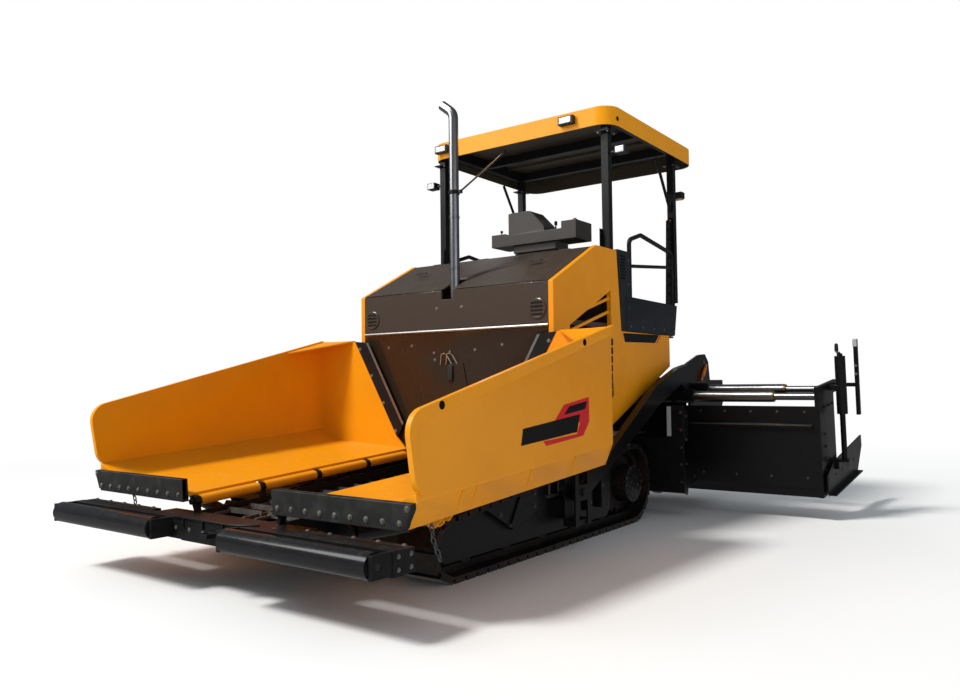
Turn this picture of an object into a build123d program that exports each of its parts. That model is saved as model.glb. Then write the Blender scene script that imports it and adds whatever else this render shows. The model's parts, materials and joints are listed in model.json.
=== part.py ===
from build123d import *
import os
from math import asin, atan2, cos, degrees, hypot, pi, radians, sin, tan

os.makedirs("parts", exist_ok=True)

# A tracked asphalt paver, in millimetres. The origin is on the ground at the middle of its box.
# X runs to the machine's left side, Y to its rear and Z up. The hopper is at the front, -Y.
# The screed is raised and its extensions are run out, as the machine stands parked.

# Clearances
pin_gap = 0.3
side_gap = 5.0
seat_gap = 0.3

# Tracks: two loops of steel shoes round a front idler and a rear sprocket
track_outer_x = 983
track_width = 300
shoe_count = 54
shoe_gap = 22
pad_depth = 28
plate_depth = 12
link_height = 45
link_inner_x = 28
link_outer_x = 62
idler_y = -1714
idler_reach = 190
sprocket_y = 642
sprocket_reach = 321
sprocket_teeth = 14
tooth_width = 48
final_drive_radius = 150
bottom_roller_radius = 55
bottom_roller_count = 5
carrier_roller_radius = 42
track_frame_wall = 15

# Chassis
tunnel_half_width = 375
chassis_plate = 15
chassis_front_y = -2440
chassis_rear_y = 1060
chassis_bottom_z = 250
deck_z = 700
deck_plate = 12
body_front_y = -512
body_half_width = 945
panel_thickness = 42
platform_z = 1554
platform_rear_y = 1700
rear_body_y = 1500

# Conveyor
conveyor_front_z = 386
conveyor_rise = 1.5
conveyor_slat_pitch = 150

# Hopper wings: folding round pins that rise towards the rear
hinge_x = 393
hinge_front_y = -2508
hinge_front_z = 461
hinge_rise = 3.67
hinge_pin_radius = 18
hinge_sleeve_radius = 30
wing_rear_y = -529
wing_outer_x = 1421
wing_wall_inner_x = 1390
wing_field_depth = 21
wing_front_top = (-2600, 1015)
wing_front_bottom = (-2532, 608)
wing_rear_top_z = 1527
wing_corner_radius = 120
wing_rear_wall = 14
wing_sheet = 12
flashing_height = 140
flashing_thickness = 40

# Wing cylinders, in the plane square to the hinge pins
wing_cylinder_along = 421
wing_cylinder_base = (167, -188)
wing_cylinder_eye = (757, -53)

# Push rollers
push_roller_y = -2780
push_roller_z = 356
push_roller_radius = 62.5
push_roller_inner_x = 325
push_roller_outer_x = 1376
push_axle_radius = 17.5
tow_eye_x = 87
tow_eye_z = 347
tow_eye_radius = 20
tow_eye_plate = 24

# Hood, console, exhaust and canopy
hood_half_width = 925
hood_bend_z = 1872
hood_bottom_z = 1572
hood_top_y = 143
hood_top_z = 2200
hood_rear_y = 479
stack_x = -16
stack_y = -408
stack_radius = 39
stack_base_z = 1800
canopy_half_width = 941
canopy_front_y = 430
canopy_rear_y = 2202
canopy_rim_z = 3242
canopy_top_z = 3400
canopy_corner = 150
canopy_shell = 12
post_half_spacing = 900
post_size = 64
front_post_y = 515
rear_post_y = 1842

# Augers
auger_y = 1275
auger_z = 330
auger_radius = 170
auger_shaft_radius = 42
auger_inner_x = 75
auger_outer_x = 1222
auger_pitch = 300
auger_flight = 14
retaining_plate_y = 1072
retaining_half_width = 1245

# Screed: its frame is level with the ground when lowered and swings round the tow pins
tow_y = -400
tow_z = 378
tow_arm_inner_x = 1020
tow_arm_outer_x = 1080
tow_pin_radius = 30
screed_raise = 5.65
main_half_width = 1190
extension_stroke = 1000
extension_inner_x = 1070
extension_outer_x = 2200
extension_front = 1875
extension_depth = 300
screed_plate_lip = 77
guide_front = (1945, 817)
guide_rear = (2298, 836)
guide_tube_radius = 47.5
guide_rod_radius = 30
guide_step_x = 1856
gate_x = 2250
gate_front = 1921
gate_rear = 3068
gate_tail_low = 200


def keep(piece, label):
    """Label one finished piece and write it to its file."""
    piece.part.label = label
    export_step(piece.part, f"parts/{label}.step")


def keep_pair(piece, label):
    """Write a piece of the left side, and its mirror image for the right side."""
    keep(piece, f"{label}_left")
    with BuildPart() as twin:
        mirror(piece.part, about=Plane.YZ)
    keep(twin, f"{label}_right")


def side(x):
    """Plane that faces left at x, drawn on in (y, z)."""
    return Plane(origin=(x, 0, 0), x_dir=(0, 1, 0), z_dir=(1, 0, 0))


def front(y):
    """Plane that faces forward at y, drawn on in (x, z)."""
    return Plane(origin=(0, y, 0), x_dir=(1, 0, 0), z_dir=(0, -1, 0))


def flat(z):
    """Level plane at z, drawn on in (x, y)."""
    return Plane.XY.offset(z)


def on(frame, plane):
    """The same plane, carried into a tilted frame."""
    return Plane(frame.location * plane.location)


def block(low, high, mode=Mode.ADD):
    """Add or cut a box between two opposite corners."""
    size = [high[i] - low[i] for i in range(3)]
    centre = [(high[i] + low[i]) / 2 for i in range(3)]
    with Locations(tuple(centre)):
        Box(size[0], size[1], size[2], mode=mode)


def plate(plane, points, thickness, mode=Mode.ADD):
    """Extrude a straight-sided outline drawn on a plane."""
    with BuildSketch(plane) as drawn:
        with BuildLine():
            Polyline(*points, close=True)
        make_face()
    extrude(drawn.sketch, amount=thickness, mode=mode)


def rod(start, end, radius, mode=Mode.ADD):
    """Add or cut a round bar from one point to another."""
    start = Vector(*start)
    along = Vector(*end) - start
    with BuildSketch(Plane(origin=start, z_dir=along)) as drawn:
        Circle(radius)
    extrude(drawn.sketch, amount=along.length, mode=mode)


def drum(start, end, radius, sides=16):
    """Add a flat-sided bar from one point to another, for rollers and bars with no fit."""
    start = Vector(*start)
    along = Vector(*end) - start
    with BuildSketch(Plane(origin=start, z_dir=along)) as drawn:
        RegularPolygon(radius, sides)
    extrude(drawn.sketch, amount=along.length)


def tube(points, radius, bend, sides=14):
    """Add a bent tube along corner points."""
    with BuildLine() as route:
        FilletPolyline(*points, radius=bend)
    start = route.line @ 0
    with BuildSketch(Plane(origin=start, z_dir=route.line % 0)) as drawn:
        RegularPolygon(radius, sides)
    sweep(drawn.sketch, path=route.line)


# Tracks
track_x = track_outer_x - track_width / 2
shoe_inset = pad_depth
plate_inset = pad_depth + plate_depth
rail_inset = plate_inset + link_height
pitch_inset = plate_inset + link_height / 2
track_rise = sprocket_reach - idler_reach
bottom_run = sprocket_y - idler_y
wrap_half = atan2(track_rise, bottom_run)
rear_wrap = pi + 2 * wrap_half
front_wrap = pi - 2 * wrap_half
rear_arc = rear_wrap * (sprocket_reach - pitch_inset)
front_arc = front_wrap * (idler_reach - pitch_inset)
loop_length = 2 * bottom_run + rear_arc + front_arc
shoe_pitch = loop_length / shoe_count


def belt(distance, inset):
    """Point of the track loop (y, z), at a distance along it and an inset from its outer faces."""
    distance %= loop_length
    if distance < bottom_run:
        return (idler_y + distance, inset)
    distance -= bottom_run
    if distance < rear_arc:
        angle = -pi / 2 + distance / (sprocket_reach - pitch_inset)
        reach = sprocket_reach - inset
        return (sprocket_y + reach * cos(angle), sprocket_reach + reach * sin(angle))
    distance -= rear_arc
    lean = pi / 2 + 2 * wrap_half
    if distance < bottom_run:
        start_y = sprocket_y + (sprocket_reach - inset) * cos(lean)
        start_z = sprocket_reach + (sprocket_reach - inset) * sin(lean)
        return (start_y - distance * cos(2 * wrap_half), start_z - distance * sin(2 * wrap_half))
    distance -= bottom_run
    angle = lean + distance / (idler_reach - pitch_inset)
    reach = idler_reach - inset
    return (idler_y + reach * cos(angle), idler_reach + reach * sin(angle))


def top_run_z(y, inset):
    """Height of the track's upper run at y, at an inset from its outer face."""
    slope = 2 * wrap_half
    return idler_reach + (idler_reach - inset) / cos(slope) + (y - idler_y) * tan(slope)


shoe_outline = []
for shoe in range(shoe_count):
    begin = shoe * shoe_pitch + shoe_gap / 2
    finish = (shoe + 1) * shoe_pitch - shoe_gap / 2
    shoe_outline += [belt(begin, shoe_inset), belt(begin, 0), belt(finish, 0), belt(finish, shoe_inset)]
plate_outline = [belt(shoe * shoe_pitch, plate_inset) for shoe in range(shoe_count)]
rail_outline = [belt(shoe * shoe_pitch, rail_inset) for shoe in range(shoe_count)]

with BuildPart() as track:
    plate(side(track_outer_x - track_width), shoe_outline, track_width)
    plate(side(track_outer_x - track_width), plate_outline, track_width, Mode.SUBTRACT)
    for rail_x in (track_x - link_outer_x, track_x + link_inner_x):
        with BuildSketch(side(rail_x)) as rail:
            with BuildLine():
                Polyline(*plate_outline, close=True)
            make_face()
            with BuildLine():
                Polyline(*rail_outline, close=True)
            make_face(mode=Mode.SUBTRACT)
        extrude(rail.sketch, amount=link_outer_x - link_inner_x)
keep_pair(track, "track")

# Track frame: two side plates and a web between the runs, with the tow point's guide outside
frame_inner_x = track_x - link_outer_x - 28
frame_outer_x = track_x + link_outer_x + 13
frame_front_y = idler_y - 60
frame_rear_y = sprocket_y - 300
frame_bottom_z = rail_inset + 20
frame_drop = plate_inset + 20
axle_radius = 20
tow_guide_inner_x = tow_arm_inner_x - side_gap - 18
tow_guide_outer_x = tow_arm_outer_x + side_gap
roller_z = rail_inset + bottom_roller_radius + seat_gap
web_z = roller_z + bottom_roller_radius + 22

frame_outline = [
    (frame_front_y, idler_reach - 40),
    (frame_front_y + 40, frame_bottom_z),
    (frame_rear_y - 60, frame_bottom_z),
    (frame_rear_y, frame_bottom_z + 60),
    (frame_rear_y, top_run_z(frame_rear_y, frame_drop)),
    (idler_y + 20, top_run_z(idler_y + 20, frame_drop)),
    (frame_front_y, idler_reach + 40),
]
with BuildPart() as track_frame:
    plate(side(frame_inner_x - track_frame_wall), frame_outline, track_frame_wall)
    plate(side(frame_outer_x), frame_outline, track_frame_wall)
    block((frame_inner_x, idler_y + 160, web_z), (frame_outer_x, frame_rear_y, web_z + 15))
    block((frame_outer_x + track_frame_wall, tow_y - 100, 200), (tow_guide_inner_x, tow_y + 100, 330))
    block((tow_guide_inner_x, tow_y - 110, 150), (tow_arm_inner_x - side_gap, tow_y + 110, 520))
    block((tow_arm_inner_x - side_gap, tow_y - 110, 150), (tow_guide_outer_x, tow_y + 110, 190))
    block((tow_guide_outer_x, tow_y - 110, 150), (tow_guide_outer_x + 14, tow_y - 60, 520))
    block((tow_guide_outer_x, tow_y + 60, 150), (tow_guide_outer_x + 14, tow_y + 110, 520))
    block((tow_guide_outer_x, tow_y - 60, tow_z - 55), (tow_guide_outer_x + 14, tow_y + 60, tow_z + 55))
    rod((tow_guide_inner_x, tow_y, tow_z), (tow_guide_outer_x + 30, tow_y, tow_z), tow_pin_radius)
keep_pair(track_frame, "track_frame")

# Sprocket, idler and rollers of one side
with BuildPart() as track_wheels:
    root_radius = sprocket_reach - rail_inset - 16
    tip_radius = sprocket_reach - plate_inset - 8
    tooth_half = pi / sprocket_teeth
    tooth_points = []
    for tooth in range(sprocket_teeth):
        centre_angle = tooth * 2 * tooth_half
        for reach, turn in ((root_radius, -0.55), (tip_radius, -0.28), (tip_radius, 0.28), (root_radius, 0.55)):
            angle = centre_angle + turn * tooth_half
            tooth_points.append((sprocket_y + reach * cos(angle), sprocket_reach + reach * sin(angle)))
    plate(side(track_x - tooth_width / 2), tooth_points, tooth_width)
    drum(
        (track_outer_x - track_width - 23, sprocket_y, sprocket_reach),
        (track_outer_x - 8, sprocket_y, sprocket_reach),
        final_drive_radius,
        24,
    )
    drum(
        (track_x - link_outer_x - 3, idler_y, idler_reach),
        (track_x + link_outer_x + 3, idler_y, idler_reach),
        idler_reach - rail_inset - 12,
        24,
    )
    drum(
        (track_x - tooth_width / 2, idler_y, idler_reach),
        (track_x + tooth_width / 2, idler_y, idler_reach),
        idler_reach - plate_inset - 22,
        24,
    )
    drum((frame_inner_x, idler_y, idler_reach), (frame_outer_x, idler_y, idler_reach), axle_radius)
    roller_step = (frame_rear_y - idler_y - 320) / (bottom_roller_count - 1)
    for roller in range(bottom_roller_count):
        roller_y = idler_y + 210 + roller * roller_step
        for low_x, high_x, reach in (
            (track_x - link_outer_x - 3, track_x + link_outer_x + 3, bottom_roller_radius),
            (frame_inner_x + 6, track_x - link_outer_x - 3, bottom_roller_radius + 12),
            (track_x + link_outer_x + 3, frame_outer_x - 4, bottom_roller_radius + 12),
            (frame_inner_x, frame_outer_x, axle_radius),
        ):
            drum((low_x, roller_y, roller_z), (high_x, roller_y, roller_z), reach)
    for carrier_y in (-1050, -250):
        carrier_z = top_run_z(carrier_y, rail_inset) - carrier_roller_radius - 3
        drum((frame_inner_x, carrier_y, carrier_z), (frame_outer_x, carrier_y, carrier_z), carrier_roller_radius)
keep_pair(track_wheels, "track_wheels")

# Chassis
hinge_slope = radians(hinge_rise)


def hinge_z(y):
    """Height of the wings' hinge axis at y."""
    return hinge_front_z + (y - hinge_front_y) * tan(hinge_slope)


tunnel_outer = tunnel_half_width + chassis_plate
side_top_drop = 62
chassis_outline = [
    (chassis_front_y, chassis_bottom_z),
    (chassis_rear_y, chassis_bottom_z),
    (chassis_rear_y, deck_z),
    (body_front_y, deck_z),
    (body_front_y, hinge_z(body_front_y) - side_top_drop),
    (chassis_front_y, hinge_z(chassis_front_y) - side_top_drop),
]
hinge_axis = Vector(0, cos(hinge_slope), sin(hinge_slope))
hinge_length = (wing_rear_y - hinge_front_y) / cos(hinge_slope)
ear_length = 40
ear_starts = [20, 500, 985, 1470, hinge_length - 60]
left_hinge = Plane(origin=(hinge_x, hinge_front_y, hinge_front_z), x_dir=(1, 0, 0), z_dir=-hinge_axis)
cylinder_plane = left_hinge.offset(-wing_cylinder_along)
base_pin_radius = 16
clevis_half = 16
clevis_wall = 16

with BuildPart() as chassis:
    for sign in (-1, 1):
        plate(side(sign * (tunnel_half_width + chassis_plate / 2) - chassis_plate / 2), chassis_outline, chassis_plate)
    block((-tunnel_half_width, chassis_front_y, chassis_bottom_z), (tunnel_half_width, chassis_rear_y, chassis_bottom_z + 12))
    block((-tunnel_half_width, chassis_front_y, chassis_bottom_z), (tunnel_half_width, chassis_front_y + 60, chassis_bottom_z + 36))
    for sign in (-1, 1):
        low, high = sorted((sign * tunnel_outer, sign * 640))
        block((low, chassis_front_y, chassis_bottom_z), (high, chassis_front_y + 60, chassis_bottom_z + 120))
    block((-body_half_width + panel_thickness, body_front_y + 12, deck_z), (body_half_width - panel_thickness, chassis_rear_y, deck_z + deck_plate))
    for sign in (-1, 1):
        inner = sign * tunnel_outer
        outer = sign * (frame_inner_x - track_frame_wall)
        for tube_y, tube_z, tube_radius in ((-1150, 275, 48), (60, 340, 62)):
            drum((inner, tube_y, tube_z), (outer, tube_y, tube_z), tube_radius)
        bracket_x = sorted((inner, sign * (track_outer_x - track_width - 23)))
        block((bracket_x[0], sprocket_y - 170, 180), (bracket_x[1], sprocket_y + 170, 560))
with BuildPart() as hinge_side:
    for start in ear_starts:
        with BuildSketch(left_hinge.offset(-start - ear_length)) as ear:
            RegularPolygon(hinge_sleeve_radius - 2, 16)
            with BuildLine():
                Polyline((-18, 0), (-18, -side_top_drop - 4), (-3, -side_top_drop - 4), (16, -20), (16, 0), close=True)
            make_face()
        extrude(ear.sketch, amount=ear_length)
    with BuildSketch(left_hinge) as pin:
        Circle(hinge_pin_radius)
    extrude(pin.sketch, amount=-hinge_length)
    with BuildSketch(cylinder_plane.offset(-clevis_half - clevis_wall)) as clevis:
        with BuildLine():
            Polyline((-3, -225), (60, -225), (185, -215), (195, -188), (180, -150), (60, -120), (-3, -110), close=True)
        make_face()
    extrude(clevis.sketch, amount=clevis_wall)
    extrude(clevis.sketch.moved(Location(-hinge_axis * (2 * clevis_half + clevis_wall))), amount=clevis_wall)
    with BuildSketch(cylinder_plane.offset(-clevis_half)) as clevis_back:
        with BuildLine():
            Polyline((-3, -225), (60, -225), (60, -120), (-3, -110), close=True)
        make_face()
    extrude(clevis_back.sketch, amount=2 * clevis_half)
    with BuildSketch(cylinder_plane.offset(-clevis_half)) as base_pin:
        with Locations(wing_cylinder_base):
            Circle(base_pin_radius)
    extrude(base_pin.sketch, amount=2 * clevis_half)
with BuildPart() as chassis_frame:
    add(chassis.part)
    add(hinge_side.part)
    mirror(hinge_side.part, about=Plane.YZ)
keep(chassis_frame, "chassis_frame")

# Push-roller beam
push_bracket = 24
roller_side_gap = 5
with BuildPart() as push_beam:
    block((-1410, push_roller_y + 90, 290), (1410, push_roller_y + 160, 410))
    block((-300, push_roller_y + 160, 262), (300, chassis_front_y, 370))
    lug_low_z = tow_eye_z - tow_eye_plate / 2
    lug_top_z = tow_eye_z + tow_eye_plate / 2
    block((tow_eye_x - 42, push_roller_y + 20, lug_low_z), (tow_eye_x + 42, push_roller_y + 90, lug_top_z))
    rod((tow_eye_x, push_roller_y + 52, lug_low_z), (tow_eye_x, push_roller_y + 52, lug_top_z), tow_eye_radius, Mode.SUBTRACT)
    block((-640, push_roller_y + 160, 370), (640, chassis_front_y, 396))
    for sign in (-1, 1):
        low, high = sorted((sign * 300, sign * 315))
        block((low, push_roller_y + 160, 262), (high, chassis_front_y, 370))
        low, high = sorted((sign * 625, sign * 640))
        block((low, push_roller_y + 160, 290), (high, chassis_front_y, 370))
    for sign in (-1, 1):
        for near_x in (push_roller_inner_x - roller_side_gap - push_bracket, push_roller_outer_x + roller_side_gap):
            low, high = sorted((sign * near_x, sign * (near_x + push_bracket)))
            block((low, push_roller_y - 40, 300), (high, push_roller_y + 90, 410))
            rod((low, push_roller_y, push_roller_z), (high, push_roller_y, push_roller_z), push_axle_radius + pin_gap, Mode.SUBTRACT)
keep(push_beam, "push_beam")

with BuildPart() as push_roller:
    rod((push_roller_inner_x, push_roller_y, push_roller_z), (push_roller_outer_x, push_roller_y, push_roller_z), push_roller_radius)
    rod(
        (push_roller_inner_x - roller_side_gap - push_bracket + 2, push_roller_y, push_roller_z),
        (push_roller_outer_x + roller_side_gap + push_bracket - 2, push_roller_y, push_roller_z),
        push_axle_radius,
    )
keep_pair(push_roller, "push_roller")

# Slat conveyors: two chain loops each, with slats fused across them, and the two shafts
conveyor_frame = Plane(
    origin=(0, chassis_front_y, conveyor_front_z),
    x_dir=(1, 0, 0),
    z_dir=(0, -sin(radians(conveyor_rise)), cos(radians(conveyor_rise))),
)
conveyor_length = 3440
chain_radius = 42
chain_depth = 16
slat_width = 26
with BuildPart() as slat_conveyor:
    for chain_x in (45, 318):
        with BuildSketch(on(conveyor_frame, side(chain_x))) as chain:
            with Locations((conveyor_length / 2, -chain_radius)):
                SlotOverall(conveyor_length - 60, 2 * chain_radius)
                SlotOverall(conveyor_length - 60 - 2 * chain_depth, 2 * (chain_radius - chain_depth), mode=Mode.SUBTRACT)
        extrude(chain.sketch, amount=18)
    slat_total = int((conveyor_length - 300) / conveyor_slat_pitch)
    for slat in range(slat_total):
        along = 160 + slat * conveyor_slat_pitch
        with BuildSketch(on(conveyor_frame, side(28))) as bar:
            with BuildLine():
                Polyline((along, -chain_depth), (along + slat_width, -chain_depth), (along + slat_width - 8, 14), (along + 8, 14), close=True)
            make_face()
        extrude(bar.sketch, amount=325)
with BuildPart() as conveyor_shafts:
    for along in (30 + chain_radius, conveyor_length - 30 - chain_radius):
        with BuildSketch(on(conveyor_frame, side(-tunnel_half_width))) as shaft:
            with Locations((along, -chain_radius)):
                Circle(chain_radius - chain_depth - seat_gap)
        extrude(shaft.sketch, amount=2 * tunnel_half_width)
with BuildPart() as slat_conveyors:
    add(slat_conveyor.part)
    mirror(slat_conveyor.part, about=Plane.YZ)
    add(conveyor_shafts.part)
keep(slat_conveyors, "slat_conveyors")

# Hopper back wall
with BuildPart() as hopper_back_wall:
    plate(
        front(body_front_y + 12),
        [
            (-900, deck_z - 60), (-tunnel_outer, deck_z - 60), (-tunnel_outer, deck_z + 30), (tunnel_outer, deck_z + 30),
            (tunnel_outer, deck_z - 60), (900, deck_z - 60), (900, hood_bottom_z - 20), (-900, hood_bottom_z - 20),
        ],
        12,
    )
    plate(front(body_front_y), [(-260, 760), (260, 760), (140, 1300), (-112, 1300)], 8)
    drum((-900, body_front_y + 2, hood_bottom_z - 14), (900, body_front_y + 2, hood_bottom_z - 14), 12, 8)
keep(hopper_back_wall, "hopper_back_wall")

# Hood: a fixed front and top, and the sloping lid between them
panel_inner_x = body_half_width - panel_thickness
lid_thickness = 22
lid_slope = atan2(hood_top_z - hood_bend_z, hood_top_y - body_front_y)
notch_half = 58
notch_reach = 125
with BuildPart() as hood_front:
    block((-panel_inner_x, body_front_y, hood_bottom_z), (panel_inner_x, body_front_y + 22, hood_bend_z))
    block((stack_x - notch_half, body_front_y, stack_base_z), (stack_x + notch_half, body_front_y + 22, hood_bend_z), Mode.SUBTRACT)
    block((stack_x - notch_half - 8, body_front_y + 22, stack_base_z - 16), (stack_x + notch_half + 8, stack_y + notch_reach + 8, stack_base_z))
    block((-panel_inner_x, hood_top_y + 40, hood_top_z - 18), (panel_inner_x, hood_rear_y, hood_top_z))
    block((-panel_inner_x, hood_rear_y - 18, platform_z - 14), (panel_inner_x, hood_rear_y, hood_top_z - 18))
    for sign in (-1, 1):
        low, high = sorted((sign * (panel_inner_x - 12), sign * panel_inner_x))
        block((low, body_front_y + 22, hood_bottom_z), (high, hood_rear_y - 18, hood_bottom_z + 40))
keep(hood_front, "hood_front")

lid_hinge_y = hood_top_y + 20
lid_hinge_z = hood_top_z - 4
lid_hinge_radius = 10
with BuildPart() as hood_lid:
    lid_foot = hood_bend_z + side_gap
    plate(
        side(-hood_half_width + 27),
        [
            (body_front_y, lid_foot), (body_front_y + lid_thickness / sin(lid_slope) / 1.9, lid_foot),
            (hood_top_y, hood_top_z - lid_thickness), (hood_top_y + 5, hood_top_z - lid_thickness),
            (hood_top_y + 5, hood_top_z), (hood_top_y, hood_top_z),
        ],
        2 * hood_half_width - 54,
    )
    block((stack_x - notch_half, body_front_y - 5, hood_bend_z - 5), (stack_x + notch_half, stack_y + notch_reach, hood_bend_z + 300), Mode.SUBTRACT)
    for sleeve_x in (-700, -200, 300, 600):
        block((sleeve_x, hood_top_y, hood_top_z - 18), (sleeve_x + 100, lid_hinge_y, hood_top_z - 2))
        rod((sleeve_x, lid_hinge_y, lid_hinge_z - 4), (sleeve_x + 100, lid_hinge_y, lid_hinge_z - 4), lid_hinge_radius + 6)
        rod((sleeve_x, lid_hinge_y, lid_hinge_z - 4), (sleeve_x + 100, lid_hinge_y, lid_hinge_z - 4), lid_hinge_radius + pin_gap, Mode.SUBTRACT)
keep(hood_lid, "hood_lid")

with BuildPart() as hood_hinge:
    rod((-720, lid_hinge_y, lid_hinge_z - 4), (720, lid_hinge_y, lid_hinge_z - 4), lid_hinge_radius)
    for ear_x in (-720, -590, -90, 205, 410, 708):
        block((ear_x, lid_hinge_y - 9, lid_hinge_z - 20), (ear_x + 12, hood_top_y + 40, lid_hinge_z + 4))
keep(hood_hinge, "hood_hinge")

# Side panels: a front and a rear one on each side, with louvred openings
seam_gap = 5
seam_top = (hood_rear_y, hood_top_z + 5)
seam_bottom = (612, 906)


def seam_y(z):
    """The leaning seam between the front and rear side panels."""
    share = (seam_top[1] - z) / (seam_top[1] - seam_bottom[1])
    return seam_top[0] + share * (seam_bottom[0] - seam_top[0])


panel_skin = 8
with BuildPart() as side_panel:
    plate(
        side(panel_inner_x),
        [
            (body_front_y, deck_z), (110, deck_z), (378, 810), seam_bottom, seam_top,
            (hood_top_y, hood_top_z + 5), (body_front_y, hood_bend_z),
        ],
        panel_thickness,
    )
    plate(
        side(panel_inner_x),
        [(body_front_y + 25, 725), (100, 725), (355, 830), (330, 1000), (235, 1440), (body_front_y + 25, 1440)],
        panel_thickness - panel_skin,
        Mode.SUBTRACT,
    )
    plate(side(panel_inner_x), [(-283, 1480), (374, 1560), (374, 1874), (-283, 1563)], panel_thickness, Mode.SUBTRACT)
    plate(side(panel_inner_x), [(262, 1497), (318, 1520), (410, 1040), (352, 1016)], panel_thickness, Mode.SUBTRACT)
    plate(
        side(panel_inner_x),
        [
            (seam_bottom[0] + seam_gap, seam_bottom[1] + 2), (rear_body_y + 12, 1275), (rear_body_y + 12, platform_z),
            (seam_y(platform_z) + seam_gap, platform_z),
        ],
        panel_thickness,
    )
    for slat in range(3):
        low = 1500 + slat * 105
        plate(
            side(panel_inner_x),
            [(-283, low), (374, low + 190), (374, low + 215), (-283, low + 25)],
            panel_thickness - 24,
        )
    for slat in range(4):
        low = 1100 + slat * 105
        across = 352 - (low - 1016) * 90 / 481
        plate(side(panel_inner_x), [(across - 5, low), (across + 62, low + 25), (across + 62, low + 45), (across - 5, low + 20)], panel_thickness - 24)
keep_pair(side_panel, "side_panel")

# Rear body and engine
with BuildPart() as rear_body:
    plate(
        side(-panel_inner_x),
        [(430, 852), (rear_body_y, 1290), (rear_body_y, platform_z - 14), (430, platform_z - 14)],
        2 * panel_inner_x,
    )
    plate(
        side(-panel_inner_x + 12),
        [(430, 868), (rear_body_y - 12, 1302), (rear_body_y - 12, platform_z - 26), (430, platform_z - 26)],
        2 * panel_inner_x - 24,
        Mode.SUBTRACT,
    )
    block((-panel_inner_x, 430, deck_z + deck_plate), (panel_inner_x, 442, 868))
    for sign in (-1, 1):
        for ear_x in (700 - clevis_half - clevis_wall, 700 + clevis_half):
            low, high = sorted((sign * ear_x, sign * (ear_x + clevis_wall)))
            plate(side(low), [(rear_body_y, 1440), (1560, 1460), (1604, 1470), (1604, 1530), (rear_body_y, 1535)], clevis_wall)
        low, high = sorted((sign * (700 - clevis_half), sign * (700 + clevis_half)))
        rod((low, 1572, 1490), (high, 1572, 1490), base_pin_radius)
keep(rear_body, "rear_body")

with BuildPart() as engine_block:
    block((-290, -330, deck_z + deck_plate), (290, 330, 1400))
keep(engine_block, "engine_block")

# Operator platform with its side tubs
tub_wall = 14
with BuildPart() as platform:
    block((-panel_inner_x, hood_rear_y, platform_z - 14), (panel_inner_x, platform_rear_y, platform_z))
    for sign in (-1, 1):
        low, high = sorted((sign * (body_half_width - tub_wall), sign * body_half_width))
        plate(side(low), [(640, platform_z + 5), (platform_rear_y - 60, platform_z + 5), (platform_rear_y, 1838), (640, 1848)], tub_wall)
        low, high = sorted((sign * (panel_inner_x - 20), sign * (body_half_width - tub_wall)))
        block((low, 640, platform_z), (high, platform_rear_y - 60, platform_z + 20))
        low, high = sorted((sign * (body_half_width - 95), sign * (body_half_width - 5)))
        block((low, 556, platform_z), (high, 640, 2219))
keep(platform, "platform")

with BuildPart() as console:
    block((-205, 760, platform_z), (205, 930, 2330))
    block((-197, 768, platform_z), (197, 922, 2322), Mode.SUBTRACT)
    block((-225, 735, 2330), (225, 960, 2400))
    block((-450, 705, 2400), (450, 990, 2500))
    block((-450, 705, 2500), (-300, 990, 2518))
    block((300, 705, 2500), (450, 990, 2562))
    plate(front(960), [(-276, 2500), (-276, 2702), (-40, 2702), (110, 2548), (110, 2500)], 230)
keep(console, "console")

seat_top_z = 1960
with BuildPart() as seat_frames:
    block((-120, 1180, platform_z), (120, 1420, seat_top_z))
    block((-112, 1188, platform_z), (112, 1412, seat_top_z - 10), Mode.SUBTRACT)
    block((-200, 1140, seat_top_z - 30), (200, 1460, seat_top_z))
    for sign in (-1, 1):
        low, high = sorted((sign * 262, sign * 310))
        block((low, 1180, 2180), (high, 1470, 2230))
        block((low, 1440, 2040), (high, 1470, 2180))
        low, high = sorted((sign * 200, sign * 310))
        block((low, 1440, seat_top_z - 30), (high, 1470, 2040))
keep(seat_frames, "seat_frames")
with BuildPart() as seat_cushions:
    block((-240, 1090, seat_top_z + seat_gap), (240, 1430, 2080))
keep(seat_cushions, "seat_cushions")
with BuildPart() as seat_backs:
    plate(side(-240), [(1440, 2040), (1510, 2040), (1570, 2440), (1500, 2440)], 480)
keep(seat_backs, "seat_backs")

# Exhaust stack
with BuildPart() as exhaust_stack:
    tube([(stack_x, stack_y, stack_base_z), (stack_x, stack_y, 3290), (stack_x - 110, stack_y, 3375)], stack_radius, 90)
keep(exhaust_stack, "exhaust_stack")

# Canopy
with BuildPart() as canopy_roof:
    with BuildSketch(flat(canopy_rim_z)) as rim:
        with Locations((0, (canopy_front_y + canopy_rear_y) / 2)):
            RectangleRounded(2 * canopy_half_width, canopy_rear_y - canopy_front_y, canopy_corner)
    extrude(rim.sketch, amount=canopy_top_z - canopy_rim_z)
    with BuildSketch(flat(canopy_rim_z)) as hollow:
        with Locations((0, (canopy_front_y + canopy_rear_y) / 2)):
            RectangleRounded(
                2 * (canopy_half_width - canopy_shell),
                canopy_rear_y - canopy_front_y - 2 * canopy_shell,
                canopy_corner - canopy_shell,
            )
    extrude(hollow.sketch, amount=canopy_top_z - canopy_rim_z - canopy_shell, mode=Mode.SUBTRACT)
keep(canopy_roof, "canopy_roof")

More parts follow.
